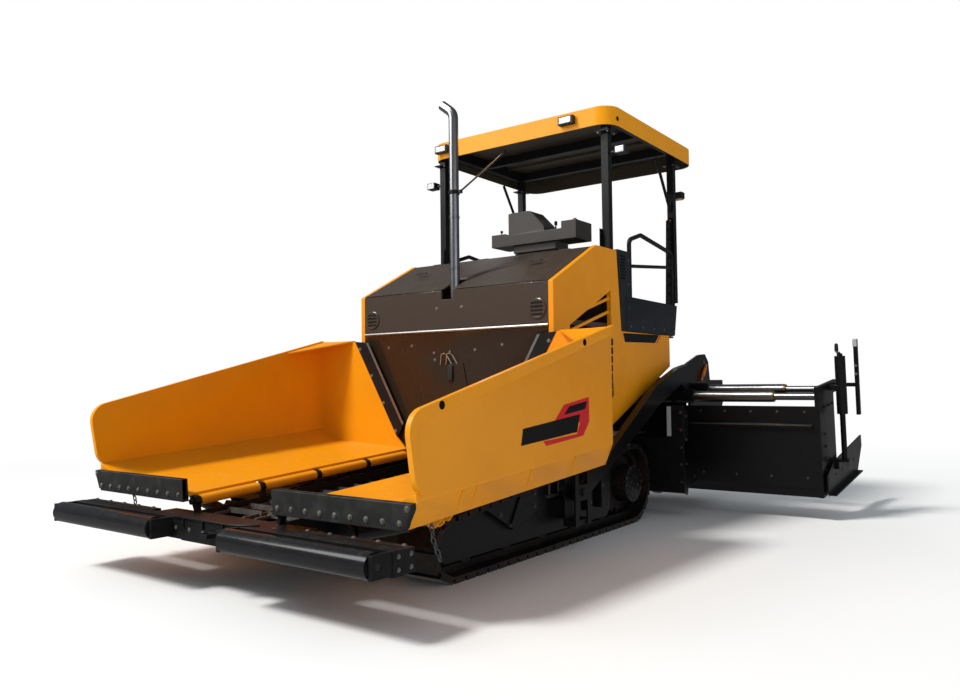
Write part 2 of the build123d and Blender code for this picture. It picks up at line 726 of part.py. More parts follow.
beam_z = canopy_top_z - canopy_shell
with BuildPart() as canopy_frame:
    for sign in (-1, 1):
        inner_x = sign * (post_half_spacing - 48)
        block((inner_x - 30, front_post_y - 32, beam_z - 90), (inner_x + 30, rear_post_y + 32, beam_z))
        block((inner_x - 32, front_post_y - 32, platform_z), (inner_x + 32, front_post_y + 32, beam_z - 90))
        block((inner_x - 32, rear_post_y - 32, 1880), (inner_x + 32, rear_post_y + 32, beam_z - 90))
        plate(side(inner_x - 10), [(platform_rear_y - 60, platform_z), (platform_rear_y, platform_z), (rear_post_y + 32, 1907), (rear_post_y + 20, 2717), (rear_post_y - 120, 2650), (rear_post_y - 160, 1907)], 20)
    for cross_y in (front_post_y, 1180, rear_post_y):
        block((-post_half_spacing + 70, cross_y - 28, beam_z - 80), (post_half_spacing - 70, cross_y + 28, beam_z))
keep(canopy_frame, "canopy_frame")

# Handrails
rail_radius = 19
with BuildPart() as handrails:
    for sign in (-1, 1):
        x = sign * 925
        tube([(x, 755, 1848), (x, 755, 2330), (x, 980, 2400), (x, 1640, 2320), (x, 1640, 1839)], rail_radius, 60)
        rod((x, 755 + 15, 2110), (x, 1640 - 15, 2190), rail_radius - 4)
keep(handrails, "handrails")

# Work lamps
with BuildPart() as work_lamps:
    for lamp_x, lamp_y, lamp_z in ((545, canopy_front_y - 30, 3325), (-790, canopy_front_y - 30, 3325)):
        block((lamp_x - 70, lamp_y - 20, lamp_z - 35), (lamp_x + 70, lamp_y + 30, lamp_z + 35))
    for sign in (-1, 1):
        for lamp_y, lamp_z in ((front_post_y, 3020), (rear_post_y + 140, 2936)):
            low, high = sorted((sign * (post_half_spacing - 16), sign * (post_half_spacing + 90)))
            if lamp_y == front_post_y:
                rod((low, lamp_y, lamp_z), (high, lamp_y, lamp_z), 10)
                block((sign * 990 - 45, lamp_y - 40, lamp_z - 25), (sign * 990 + 45, lamp_y + 40, lamp_z + 35))
            else:
                rod((sign * 852, rear_post_y + 32, lamp_z), (sign * 852, lamp_y, lamp_z), 10)
                block((sign * 852 - 45, lamp_y, lamp_z - 25), (sign * 852 + 45, lamp_y + 80, lamp_z + 35))
keep(work_lamps, "work_lamps")

# Hopper wings
wing_floor_top = [(20, 47), (427, 68), (837, 90), (982, 178), (1007, 178)]
wing_skirt = [(1007, 140), (948, 8), (40, 0), (40, 30), (20, 36)]
wing_floor = wing_floor_top + [(1007, 140), (982, 160), (840, 78), (427, 68 - wing_sheet), (40, 34), (20, 34)]
lug_half = 10 + side_gap
lug_wall = 16
with BuildPart() as hopper_wing:
    plate(left_hinge.offset(-hinge_length), wing_floor, hinge_length)
    rib_marks = [0, wing_cylinder_along - 60, wing_cylinder_along + 60, 1000, 1500, hinge_length - wing_sheet]
    for mark in rib_marks:
        plate(left_hinge.offset(-mark - wing_sheet), wing_floor_top + wing_skirt, wing_sheet)
    plate(left_hinge.offset(-wing_cylinder_along - 60), [(700, 12), (700, 80), (815, 86), (815, 12)], 120)
    plate(left_hinge.offset(-hinge_length), [(1007, 160), (948, 8), (936, 8), (995, 160)], hinge_length)
    sleeve_marks = [0] + [mark for start in ear_starts for mark in (start, start + ear_length)]
    for number in range(len(ear_starts) - 1):
        begin = ear_starts[number] + ear_length + side_gap
        length = ear_starts[number + 1] - begin - side_gap
        with BuildSketch(left_hinge.offset(-begin - length)) as sleeve:
            RegularPolygon(hinge_sleeve_radius, 16)
            with BuildLine():
                Polyline((0, -12), (60, 4), (60, 40), (0, 30), close=True)
            make_face()
            Circle(hinge_pin_radius + pin_gap, mode=Mode.SUBTRACT)
        extrude(sleeve.sketch, amount=length)
    with BuildSketch(side(wing_wall_inner_x)) as wall:
        with BuildLine():
            Polyline(
                wing_front_bottom, (wing_rear_y, hinge_z(wing_rear_y) + 149), (wing_rear_y, wing_rear_top_z), wing_front_top,
                close=True,
            )
        make_face()
        fillet(wall.vertices().sort_by(Axis.Y)[0], wing_corner_radius)
    extrude(wall.sketch, amount=wing_outer_x - wing_wall_inner_x)
    plate(
        side(wing_outer_x - wing_field_depth),
        [
            (wing_front_bottom[0] + 50, wing_front_bottom[1] - 20), (wing_front_top[0] + 65, wing_front_top[1] - 65),
            (wing_front_top[0] + 140, wing_front_top[1] - 36), (wing_rear_y + 5, wing_rear_top_z - 62),
            (wing_rear_y + 5, hinge_z(wing_rear_y) + 100),
        ],
        wing_field_depth,
        Mode.SUBTRACT,
    )
    plate(
        front(wing_rear_y),
        [
            (430, 632), (516, 718), (974, 1505), (wing_wall_inner_x + 5, 1519), (wing_wall_inner_x + 5, 762),
            (1230, 670), (820, 652),
        ],
        wing_rear_wall,
    )
    plate(
        Plane(origin=(0, wing_rear_y, wing_rear_top_z - 12), x_dir=(1, 0, 0), z_dir=Vector(0, -(wing_rear_top_z - wing_front_top[1]), wing_rear_y - wing_front_top[0]).normalized()),
        [(1000, 0), (wing_wall_inner_x, 0), (wing_wall_inner_x, -420), (1330, -400)],
        -10,
    )
    for shift in (lug_half, -lug_half - lug_wall):
        with BuildSketch(cylinder_plane.offset(shift)) as lug:
            with BuildLine():
                Polyline(
                    (wing_cylinder_eye[0] - 60, 12), (wing_cylinder_eye[0] - 38, wing_cylinder_eye[1] - 20),
                    (wing_cylinder_eye[0] - 15, wing_cylinder_eye[1] - 38), (wing_cylinder_eye[0] + 15, wing_cylinder_eye[1] - 38),
                    (wing_cylinder_eye[0] + 38, wing_cylinder_eye[1] - 20), (wing_cylinder_eye[0] + 60, 12), close=True,
                )
            make_face()
        extrude(lug.sketch, amount=lug_wall)
keep_pair(hopper_wing, "hopper_wing")

with BuildPart() as wing_flashing:
    plate(
        left_hinge.offset(seat_gap),
        [(15, 4), (948, 8), (1005, 110), (1005, flashing_height), (15, flashing_height)],
        flashing_thickness,
    )
keep_pair(wing_flashing, "wing_flashing")


# Hydraulic cylinders: a hollow barrel with its base eye, and a rod with piston and end eye
def cylinder_frame(plane, base, eye):
    """Frame with its X axis along a cylinder, from its base pin to its rod's eye."""
    start = plane.from_local_coords((base[0], base[1], 0))
    finish = plane.from_local_coords((eye[0], eye[1], 0))
    return Plane(origin=start, x_dir=finish - start, z_dir=plane.z_dir)


def turned(frame, points, mode=Mode.ADD):
    """Revolve half of a profile round the frame's X axis."""
    with BuildSketch(frame) as half:
        with BuildLine():
            Polyline(*points, close=True)
        make_face()
    revolve(half.sketch, axis=Axis(frame.origin, frame.x_dir), mode=mode)


def eye_ring(frame, along, radius, hole, width):
    """Add an eye across the cylinder's axis, bored for its pin."""
    with BuildSketch(frame.offset(-width / 2)) as ring:
        with Locations((along, 0)):
            Circle(radius)
            if hole:
                Circle(hole, mode=Mode.SUBTRACT)
    extrude(ring.sketch, amount=width)


def barrel_profile(length, outer, bore, rod_radius):
    """Half outline of a hollow barrel behind its eye and neck."""
    return [
        (15, 0), (15, 10), (50, 10), (50, outer - 6), (56, outer), (length, outer), (length, rod_radius + pin_gap),
        (length - 24, rod_radius + pin_gap), (length - 24, bore), (64, bore), (64, 0),
    ]


wing_cylinder = cylinder_frame(cylinder_plane, wing_cylinder_base, wing_cylinder_eye)
wing_reach = hypot(wing_cylinder_eye[0] - wing_cylinder_base[0], wing_cylinder_eye[1] - wing_cylinder_base[1])
wing_barrel_length = 430
with BuildPart() as wing_barrel:
    turned(wing_cylinder, barrel_profile(wing_barrel_length, 40, 33, 20))
    eye_ring(wing_cylinder, 0, 27, 0, 22)
    with BuildSketch(wing_cylinder.offset(-11)) as bored:
        Circle(base_pin_radius + pin_gap)
    extrude(bored.sketch, amount=22, mode=Mode.SUBTRACT)
keep_pair(wing_barrel, "wing_barrel")

with BuildPart() as wing_rod:
    turned(
        wing_cylinder,
        [
            (80, 0), (80, 33 - pin_gap), (120, 33 - pin_gap), (120, 20), (wing_reach - 80, 20), (wing_reach - 72, 9),
            (wing_reach - 20, 9), (wing_reach - 20, 0),
        ],
    )
    eye_ring(wing_cylinder, wing_reach, 30, 0, 20)
keep_pair(wing_rod, "wing_rod")

# Augers: a helical flight of straight steps, fused to its shaft
flight_length = auger_outer_x - auger_inner_x - 40
steps_per_turn = 16
flight_steps = round(flight_length / auger_pitch * steps_per_turn)


def flight_edge(step):
    """The four corners of the flight's section after so many steps along its helix."""
    turn = 2 * pi * step / steps_per_turn
    middle = auger_inner_x + 20 + flight_length * step / flight_steps
    corners = []
    for reach, shift in ((auger_shaft_radius - 4, -0.5), (auger_radius, -0.5), (auger_radius, 0.5), (auger_shaft_radius - 4, 0.5)):
        across = Vector(0, reach * cos(turn), reach * sin(turn))
        corners.append(Vector(middle + shift * auger_flight, auger_y, auger_z) + across)
    return corners


with BuildPart() as auger:
    drum((auger_inner_x, auger_y, auger_z), (auger_outer_x, auger_y, auger_z), auger_shaft_radius, 24)
    rod((auger_inner_x - 20, auger_y, auger_z), (auger_outer_x + 22, auger_y, auger_z), 24)
    skin = [Face(Wire.make_polygon(flight_edge(0), close=True))]
    for step in range(flight_steps):
        near = flight_edge(step)
        far = flight_edge(step + 1)
        for corner in range(4):
            after = (corner + 1) % 4
            skin.append(Face(Wire.make_polygon([near[corner], near[after], far[after]], close=True)))
            skin.append(Face(Wire.make_polygon([near[corner], far[after], far[corner]], close=True)))
    skin.append(Face(Wire.make_polygon(flight_edge(flight_steps), close=True)))
    add(Solid(Shell(skin)))
keep_pair(auger, "auger")

journal_gap = pin_gap
with BuildPart() as auger_frame:
    for sign in (-1, 1):
        low, high = sorted((sign * tunnel_outer, sign * retaining_half_width))
        block((low, retaining_plate_y - 12, 205), (high, retaining_plate_y, 660))
        low, high = sorted((sign * (auger_outer_x + 6), sign * retaining_half_width))
        plate(side(low), [(retaining_plate_y, 240), (auger_y + 50, 280), (auger_y + 50, 380), (retaining_plate_y, 420)], high - low)
        rod((low, auger_y, auger_z), (high, auger_y, auger_z), 24 + journal_gap, Mode.SUBTRACT)
    block((-tunnel_outer, chassis_rear_y, 205), (tunnel_outer, retaining_plate_y, 370))
    block((-auger_inner_x + 25, retaining_plate_y, 240), (auger_inner_x - 25, auger_y + 60, 440))
    for sign in (-1, 1):
        low, high = sorted((sign * (auger_inner_x - 30), sign * (auger_inner_x - 5)))
        rod((low, auger_y, auger_z), (high, auger_y, auger_z), 24 + journal_gap, Mode.SUBTRACT)
keep(auger_frame, "auger_frame")

# Screed, in its own frame: X across, Y back from the tow pins, Z up from the ground when lowered
raise_angle = radians(screed_raise)
screed_up = Vector(0, -sin(raise_angle), cos(raise_angle))
screed = Plane(origin=Vector(0, tow_y, tow_z) - screed_up * tow_z, x_dir=(1, 0, 0), z_dir=screed_up)

arm_rear = 2080
with BuildPart() as tow_arm:
    plate(
        on(screed, side(tow_arm_inner_x)),
        [
            (-52, tow_z - 30), (-30, tow_z + 46), (444, 558), (1383, 977), (1872, 1078), (arm_rear, 1090),
            (arm_rear, 800), (1985, 880), (1900, 930), (1440, 820), (60, tow_z - 60), (-20, tow_z - 64),
        ],
        tow_arm_outer_x - tow_arm_inner_x,
    )
    with BuildSketch(on(screed, side(tow_arm_inner_x))) as bored:
        with Locations((0, tow_z)):
            Circle(tow_pin_radius + pin_gap)
    extrude(bored.sketch, amount=tow_arm_outer_x - tow_arm_inner_x, mode=Mode.SUBTRACT)
with BuildPart() as tow_arms:
    add(tow_arm.part)
    mirror(tow_arm.part, about=Plane.YZ)
keep(tow_arms, "tow_arms")

lift_pin = (2030, 930)
side_plate_x = tow_arm_inner_x - 25
with BuildPart(screed) as screed_frame:
    block((-main_half_width, 2190, 0), (main_half_width, 2900, 420))
    block((-main_half_width, 2220, 40), (main_half_width, 2870, 408), Mode.SUBTRACT)
    for rib_x in (-side_plate_x - 25, -10, side_plate_x):
        block((rib_x, 2220, 40), (rib_x + 25, 2870, 408))
    block((-main_half_width, 2900, 380), (main_half_width, 3180, 410))
    for sign in (-1, 1):
        low, high = sorted((sign * side_plate_x, sign * tow_arm_inner_x))
        plate(
            on(screed, side(low)),
            [
                (1870, 770), (2230, 770), (2230, 420), (2900, 420), (3110, 640), (3110, 843), (2763, 879), (2745, 1059),
                (2669, 1139), (2516, 1143), (2047, 1060), (1870, 1060),
            ],
            high - low,
        )
        for guide in (guide_front, guide_rear):
            low, high = sorted((sign * 10, sign * (main_half_width - 10)))
            with BuildSketch(on(screed, side(low))) as housing:
                with Locations(guide):
                    Circle(guide_tube_radius + 14)
                    Circle(guide_tube_radius + pin_gap, mode=Mode.SUBTRACT)
            extrude(housing.sketch, amount=high - low)
            with BuildSketch(on(screed, side(low))) as cleared:
                with Locations(guide):
                    Circle(guide_tube_radius + pin_gap)
            extrude(cleared.sketch, amount=high - low, mode=Mode.SUBTRACT)
    block((-10, guide_front[0] - 70, 760), (10, guide_rear[0] + 70, 900))
    block((-10, 2200, 420), (10, 2360, 780))
    block((-side_plate_x, lift_pin[0] + 55, 900), (side_plate_x, lift_pin[0] + 115, 970))
    for sign in (-1, 1):
        for ear_x in (700 - clevis_half - clevis_wall, 700 + clevis_half):
            low, high = sorted((sign * ear_x, sign * (ear_x + clevis_wall)))
            block((low, lift_pin[0] - 32, lift_pin[1] - 30), (high, lift_pin[0] + 55, lift_pin[1] + 34))
keep(screed_frame, "screed_frame")

with BuildPart(screed) as screed_extension:
    block((extension_inner_x, extension_front, screed_plate_lip), (extension_outer_x, extension_front + 12, 745))
    block((extension_inner_x, extension_front - 22, 570), (extension_outer_x - 20, extension_front, 600))
    block((extension_inner_x, extension_front + 12, 0), (extension_outer_x, extension_front + extension_depth, 330))
    block(
        (extension_inner_x, extension_front + 24, 36),
        (extension_outer_x, extension_front + extension_depth - 20, 318),
        Mode.SUBTRACT,
    )
    block((extension_outer_x, extension_front, 0), (extension_outer_x + 36, guide_rear[0] + 70, 900))
    for guide in (guide_front, guide_rear):
        for low, high, reach in ((main_half_width - 170, guide_step_x, guide_tube_radius), (guide_step_x, extension_outer_x, guide_rod_radius)):
            with BuildSketch(on(screed, side(low))) as guide_bar:
                with Locations(guide):
                    Circle(reach)
            extrude(guide_bar.sketch, amount=high - low)
    jack_x = 2330
    jack_y = 2230
    block((extension_outer_x + 36, jack_y - 40, 840), (jack_x, jack_y + 40, 880))
    with BuildSketch(on(screed, flat(640))) as jack:
        with Locations((jack_x, jack_y)):
            Circle(42)
    extrude(jack.sketch, amount=480)
    with BuildSketch(on(screed, flat(600))) as jack_bore:
        with Locations((jack_x, jack_y)):
            Circle(22 + pin_gap)
    extrude(jack_bore.sketch, amount=560, mode=Mode.SUBTRACT)
    block((extension_outer_x + 36, 2480 - 22, 840), (2410, 2480 + 22, 870))
    block((extension_outer_x, guide_rear[0] + 70, 800), (extension_outer_x + 36, 2520, 900))
    block((2390, 2458, 600), (2420, 2502, 1240))
keep_pair(screed_extension, "screed_extension")

machine_rear_y = -(push_roller_y - push_roller_radius)
gate_tail = (machine_rear_y - tow_y + (gate_tail_low - tow_z) * sin(raise_angle)) / cos(raise_angle)
with BuildPart(screed) as end_gate:
    plate(
        on(screed, side(gate_x)),
        [(gate_front, 40), (gate_front + 50, 0), (gate_rear - 40, 0), (gate_rear, 40), (gate_tail, gate_tail_low), (gate_tail - 8, gate_tail_low + 100), (2116, 246), (gate_front, 180)],
        14,
    )
    block((gate_x + 14, gate_front + 60, 0), (gate_x + 60, gate_rear - 50, 12))
    block((gate_x + 14, jack_y - 40, 240), (jack_x + 40, jack_y + 40, 262))
    with BuildSketch(on(screed, flat(262))) as spindle:
        with Locations((jack_x, jack_y)):
            Circle(22)
    extrude(spindle.sketch, amount=880)
    block((gate_x + 14, jack_y - 40, 180), (gate_x + 40, jack_y + 40, 240))
keep_pair(end_gate, "end_gate")

# Lift cylinders between the rear body and the screed frame
lift_plane = Plane(origin=(700, 0, 0), x_dir=(0, 1, 0), z_dir=(1, 0, 0))
lift_base = (1572, 1490)
lift_point = screed.from_local_coords((700, lift_pin[0], lift_pin[1]))
lift_eye = (lift_point.Y, lift_point.Z)
lift_cylinder = cylinder_frame(lift_plane, lift_base, lift_eye)
lift_reach = hypot(lift_eye[0] - lift_base[0], lift_eye[1] - lift_base[1])
with BuildPart() as lift_barrel:
    turned(lift_cylinder, barrel_profile(lift_reach - 50, 38, 31, 18))
    eye_ring(lift_cylinder, 0, 27, 0, 22)
    with BuildSketch(lift_cylinder.offset(-11)) as bored:
        Circle(base_pin_radius + pin_gap)
    extrude(bored.sketch, amount=22, mode=Mode.SUBTRACT)
keep_pair(lift_barrel, "lift_barrel")
with BuildPart() as lift_rod:
    turned(
        lift_cylinder,
        [
            (66, 0), (66, 31 - pin_gap), (86, 31 - pin_gap), (86, 18), (lift_reach - 48, 18), (lift_reach - 44, 9),
            (lift_reach - 15, 9), (lift_reach - 15, 0),
        ],
    )
    eye_ring(lift_cylinder, lift_reach, 26, 0, 20)
keep_pair(lift_rod, "lift_rod")

print("wing cylinder", [round(v, 2) for v in tuple(wing_cylinder.origin)], round(wing_reach, 2))
print("lift cylinder", lift_base, [round(v, 2) for v in lift_eye], round(lift_reach, 2))
print("conveyor slats", slat_total, "shoe pitch", round(shoe_pitch, 2))
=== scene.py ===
"""Dresses the tracked asphalt paver: camera, light, finishes and the details that its solids leave out."""
from __future__ import annotations

import json
import logging
import math
from dataclasses import dataclass, field
from enum import Enum
from typing import Iterable, Sequence, Union

import bmesh
import bpy
from mathutils import Matrix, Vector

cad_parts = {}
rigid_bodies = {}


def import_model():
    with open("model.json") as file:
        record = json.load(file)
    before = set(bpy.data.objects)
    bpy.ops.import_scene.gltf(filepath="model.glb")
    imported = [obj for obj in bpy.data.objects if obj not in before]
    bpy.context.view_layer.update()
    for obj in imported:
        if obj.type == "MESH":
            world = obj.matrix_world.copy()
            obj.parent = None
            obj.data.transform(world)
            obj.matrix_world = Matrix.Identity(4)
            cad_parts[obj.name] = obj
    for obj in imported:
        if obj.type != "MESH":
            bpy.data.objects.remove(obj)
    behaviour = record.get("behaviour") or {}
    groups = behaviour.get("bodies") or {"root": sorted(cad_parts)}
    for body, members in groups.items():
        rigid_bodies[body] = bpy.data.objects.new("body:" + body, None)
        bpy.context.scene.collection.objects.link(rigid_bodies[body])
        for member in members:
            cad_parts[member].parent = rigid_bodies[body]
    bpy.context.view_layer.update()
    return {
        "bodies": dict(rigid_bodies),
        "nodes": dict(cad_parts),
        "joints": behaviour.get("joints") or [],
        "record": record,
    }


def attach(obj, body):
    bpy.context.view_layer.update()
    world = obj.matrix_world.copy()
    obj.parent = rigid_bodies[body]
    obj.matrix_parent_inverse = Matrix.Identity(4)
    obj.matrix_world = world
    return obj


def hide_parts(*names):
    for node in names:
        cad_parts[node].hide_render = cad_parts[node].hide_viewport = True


log = logging.getLogger("paver")
Point = Sequence[float]
Colour = tuple[float, float, float]
RAISE = math.radians(5.65)
TOW_PIVOT = (0.0, -0.4, 0.378)
HINGE_RISE = math.radians(3.67)
HINGE_START = (0.393, -2.508, 0.461)
WING_CORNER = ((-2.6, 1.015), (-0.529, 1.527), (-2.532, 0.608))
LEFTWARD, FORWARD, REARWARD = (1.0, 0.0, 0.0), (0.0, -1.0, 0.0), (0.0, 1.0, 0.0)
UPWARD, DOWNWARD = (0.0, 0.0, 1.0), (0.0, 0.0, -1.0)
WHITE = (1.0, 1.0, 1.0)
EDGE_ANGLE, EDGE_STEPS = 40.0, 2
SMOOTH, SMALL_SMOOTH = 35.0, 30.0


class Wire:
    """One output of a shader tree, with arithmetic that adds Math nodes."""

    def __init__(self, graph: "Tree", socket: bpy.types.NodeSocket) -> None:
        """Wraps a socket.

        Args:
            graph: The tree that the socket belongs to.
            socket: An output socket of the tree.
        """
        self.graph = graph
        self.socket = socket

    def _math(self, operation: str, first: "Feed", second: "Feed") -> "Wire":
        """Adds one Math node and returns its result."""
        return self.graph.add("ShaderNodeMath", {"operation": operation}, {0: first, 1: second})

    def __add__(self, other: "Feed") -> "Wire":
        """Sum."""
        return self._math("ADD", self, other)

    def __radd__(self, other: "Feed") -> "Wire":
        """Sum, with the number first."""
        return self._math("ADD", other, self)

    def __rsub__(self, other: "Feed") -> "Wire":
        """Difference, with the number first."""
        return self._math("SUBTRACT", other, self)

    def __mul__(self, other: "Feed") -> "Wire":
        """Product."""
        return self._math("MULTIPLY", self, other)

    def at_least(self, other: "Feed") -> "Wire":
        """The larger of two values."""
        return self._math("MAXIMUM", self, other)


Feed = Union[Wire, float, int, tuple]


class Tree:
    """A node tree, of a material, of the world or of Geometry Nodes."""

    def __init__(self, tree: bpy.types.NodeTree) -> None:
        """Empties the tree.

        Args:
            tree: The tree to build.
        """
        self.tree = tree
        self.tree.nodes.clear()

    def add(self, kind: str, settings: dict, feeds: dict, result: Union[int, str, None] = 0) -> Union[Wire, None]:
        """Adds a node, sets it and feeds its inputs.

        Args:
            kind: The node's type.
            settings: Its settings, such as a Math node's operation; "stops" holds a ramp's stops.
            feeds: Values or wires for its inputs, by name or number.
            result: The output to return, or None for a node that has none.

        Returns:
            The chosen output.
        """
        node = self.tree.nodes.new(kind)
        for name, value in settings.items():
            if name == "stops":
                self._stops(node.color_ramp, value)
            else:
                setattr(node, name, value)
        for name, value in feeds.items():
            self.feed(node.inputs[name], value)
        return None if result is None else Wire(self, node.outputs[result])

    def feed(self, socket: bpy.types.NodeSocket, value: Feed) -> None:
        """Links a wire to an input, or sets its value.

        Args:
            socket: The input.
            value: The wire, number, vector or colour.
        """
        if isinstance(value, Wire):
            self.tree.links.new(value.socket, socket)
        elif isinstance(value, tuple) and len(value) == 3 and socket.type == "RGBA":
            socket.default_value = (*value, 1.0)
        else:
            socket.default_value = value

    @staticmethod
    def _stops(ramp: bpy.types.ColorRamp, stops: Sequence[tuple[float, float]]) -> None:
        """Sets a grey ramp's stops.

        Args:
            ramp: The ramp.
            stops: Each stop's position and level.
        """
        while len(ramp.elements) > len(stops):
            ramp.elements.remove(ramp.elements[-1])
        while len(ramp.elements) < len(stops):
            ramp.elements.new(1.0)
        for element, (position, level) in zip(ramp.elements, stops):
            element.position = position
            element.color = (level, level, level, 1.0)


class Graph(Tree):
    """The node tree of one material."""

    def __init__(self, name: str) -> None:
        """Makes the material, its output and its main shader.

        Args:
            name: The material's name.
        """
        self.material = bpy.data.materials.new(name)
        self.material.use_nodes = True
        super().__init__(self.material.node_tree)
        body = self.add("ShaderNodeBsdfPrincipled", {}, {}, "BSDF")
        self.shader = body.socket.node
        self.add("ShaderNodeOutputMaterial", {}, {"Surface": body}, None)
        self.output = self.tree.nodes[-1]

    def place(self, scale: tuple = (1.0, 1.0, 1.0)) -> Wire:
        """Object coordinates, stretched by a scale."""
        spot = self.add("ShaderNodeTexCoord", {}, {}, "Object")
        return self.add("ShaderNodeMapping", {}, {"Vector": spot, "Scale": scale})

    def noise(self, scale: float, detail: float = 4.0, stretch: tuple = (1.0, 1.0, 1.0)) -> Wire:
        """A noise value over the piece."""
        feeds = {"Vector": self.place(stretch), "Scale": scale, "Detail": detail, "Roughness": 0.6}
        return self.add("ShaderNodeTexNoise", {}, feeds, 0)

    def ramp(self, value: Feed, low: float, high: float) -> Wire:
        """A value taken from 0 at low to 1 at high, smoothly."""
        return self.add("ShaderNodeValToRGB", {"stops": [(low, 0.0), (high, 1.0)]}, {"Fac": value})

    def mix(self, share: Feed, first: Feed, second: Feed) -> Wire:
        """Colour between two colours."""
        return self.add("ShaderNodeMix", {"data_type": "RGBA"}, {0: share, 6: first, 7: second}, 2)

    def upward(self) -> Wire:
        """How far the surface faces up, from 0 to 1."""
        facing = self.add("ShaderNodeNewGeometry", {}, {}, "Normal")
        return self.add("ShaderNodeSeparateXYZ", {}, {0: facing}, 2).at_least(0.0)

    def settled(self, scale: float, detail: float, low: float, high: float, level: float) -> tuple[Wire, Wire]:
        """Patches of dust, thicker on what faces up.

        Args:
            scale: Scale of the patches.
            detail: Detail of the patches.
            low: Noise value where they start.
            high: Noise value where they are full.
            level: Share that lies on upright faces.

        Returns:
            The dust and its patches alone.
        """
        facing = self.upward() * (1.0 - level) + level
        grime = self.ramp(self.noise(scale, detail), low, high)
        return facing * grime, grime

    def bump(self, value: Feed, strength: float, distance: float = 0.002) -> None:
        """Gives the main shader a bump from a value."""
        normal = self.add("ShaderNodeBump", {}, {"Height": value, "Strength": strength, "Distance": distance})
        self.set("Normal", normal)

    def set(self, name: str, value: Feed) -> None:
        """Sets or links one input of the main shader."""
        self.feed(self.shader.inputs[name], value)


def shade(colour: Colour, share: float) -> Colour:
    """A darker or lighter version of a colour."""
    return tuple(channel * share for channel in colour)


@dataclass(frozen=True)
class Paint:
    """Sprayed paint with a faint orange-peel, dust on what faces up and a few scuffs."""

    name: str
    colour: Colour
    roughness: float = 0.3
    coat: float = 0.3
    dust: float = 0.12
    dust_colour: Colour = (0.36, 0.33, 0.29)
    wear: float = 0.25
    sheen: float = 0.3
    coat_roughness: float = 0.12
    patch_scale: float = 2.3
    dust_scale: float = 16.0
    scuff_scale: float = 70.0
    peel_scale: float = 420.0

    def build(self) -> bpy.types.Material:
        """Makes the material.

        Returns:
            The new material.
        """
        graph = Graph(self.name)
        patches = graph.ramp(graph.noise(self.patch_scale, 5.0), 0.35, 0.7)
        colour = graph.mix(patches * 0.5, self.colour, shade(self.colour, 0.86))
        settled = graph.settled(self.dust_scale, 8.0, 0.48, 0.72, 0.2)[0] * self.dust
        colour = graph.mix(settled, colour, self.dust_colour)
        scuffs = graph.ramp(graph.noise(self.scuff_scale, 3.0, (1.0, 1.0, 0.35)), 0.67, 0.72)
        colour = graph.mix(scuffs * self.wear * 0.4, colour, shade(self.colour, 0.55))
        graph.set("Base Color", colour)
        graph.set("Roughness", self.roughness + patches * 0.08 + settled * 0.7)
        graph.set("Coat Weight", self.coat)
        graph.set("Coat Roughness", self.coat_roughness)
        graph.set("Specular IOR Level", self.sheen)
        graph.bump(graph.noise(self.peel_scale, 2.0), 0.05, 0.0006)
        return graph.material


@dataclass(frozen=True)
class Steel:
    """Bare or worn metal with streaks along one direction and rust in places."""

    name: str
    colour: Colour
    roughness: float = 0.35
    rust: float = 0.0
    metallic: float = 1.0
    stretch: tuple = (1.0, 1.0, 1.0)
    grain: float = 30.0
    rust_colour: Colour = (0.12, 0.05, 0.022)
    patch_scale: float = 5.0
    speck_scale: float = 45.0

    def build(self) -> bpy.types.Material:
        """Makes the material.

        Returns:
            The new material.
        """
        graph = Graph(self.name)
        streaks = graph.noise(self.grain, 6.0, self.stretch)
        patches = graph.ramp(graph.noise(self.patch_scale, 6.0), 0.4, 0.65)
        colour = graph.mix(streaks, self.colour, shade(self.colour, 0.7))
        rusty = patches * graph.ramp(graph.noise(self.speck_scale, 8.0), 0.4, 0.6) * self.rust
        colour = graph.mix(rusty, colour, self.rust_colour)
        graph.set("Base Color", colour)
        graph.set("Metallic", self.metallic - rusty * self.metallic)
        graph.set("Roughness", self.roughness + streaks * 0.15 + rusty * 0.4)
        graph.bump(streaks, 0.12, 0.001)
        return graph.material


@dataclass(frozen=True)
class Moulded:
    """Moulded plastic or rubber with a fine grain and a little dust."""

    name: str
    colour: Colour
    roughness: float = 0.55
    grain: float = 300.0
    depth: float = 0.2
    dust: float = 0.15
    dust_colour: Colour = (0.24, 0.22, 0.2)
    dust_scale: float = 11.0

    def build(self) -> bpy.types.Material:
        """Makes the material.

        Returns:
            The new material.
        """
        graph = Graph(self.name)
        settled, grime = graph.settled(self.dust_scale, 7.0, 0.45, 0.75, 0.3)
        graph.set("Base Color", graph.mix(settled * self.dust, self.colour, self.dust_colour))
        graph.set("Roughness", self.roughness + grime * 0.12)
        graph.bump(graph.noise(self.grain, 3.0), self.depth, 0.0008)
        return graph.material


@dataclass(frozen=True)
class Leather:
    """Grained seat cover."""

    name: str
    colour: Colour
    cell_scale: float = 260.0
    fold_scale: float = 9.0

    def build(self) -> bpy.types.Material:
        """Makes the material.

        Returns:
            The new material.
        """
        graph = Graph(self.name)
        feeds = {"Vector": graph.place(), "Scale": self.cell_scale}
        cells = graph.add("ShaderNodeTexVoronoi", {"feature": "DISTANCE_TO_EDGE"}, feeds, 0)
        folds = graph.noise(self.fold_scale, 5.0)
        graph.set("Base Color", graph.mix(folds, self.colour, shade(self.colour, 1.9)))
        graph.set("Roughness", 0.42 + folds * 0.2)
        graph.bump(cells * 0.7 + folds * 0.6, 0.35, 0.0012)
        return graph.material


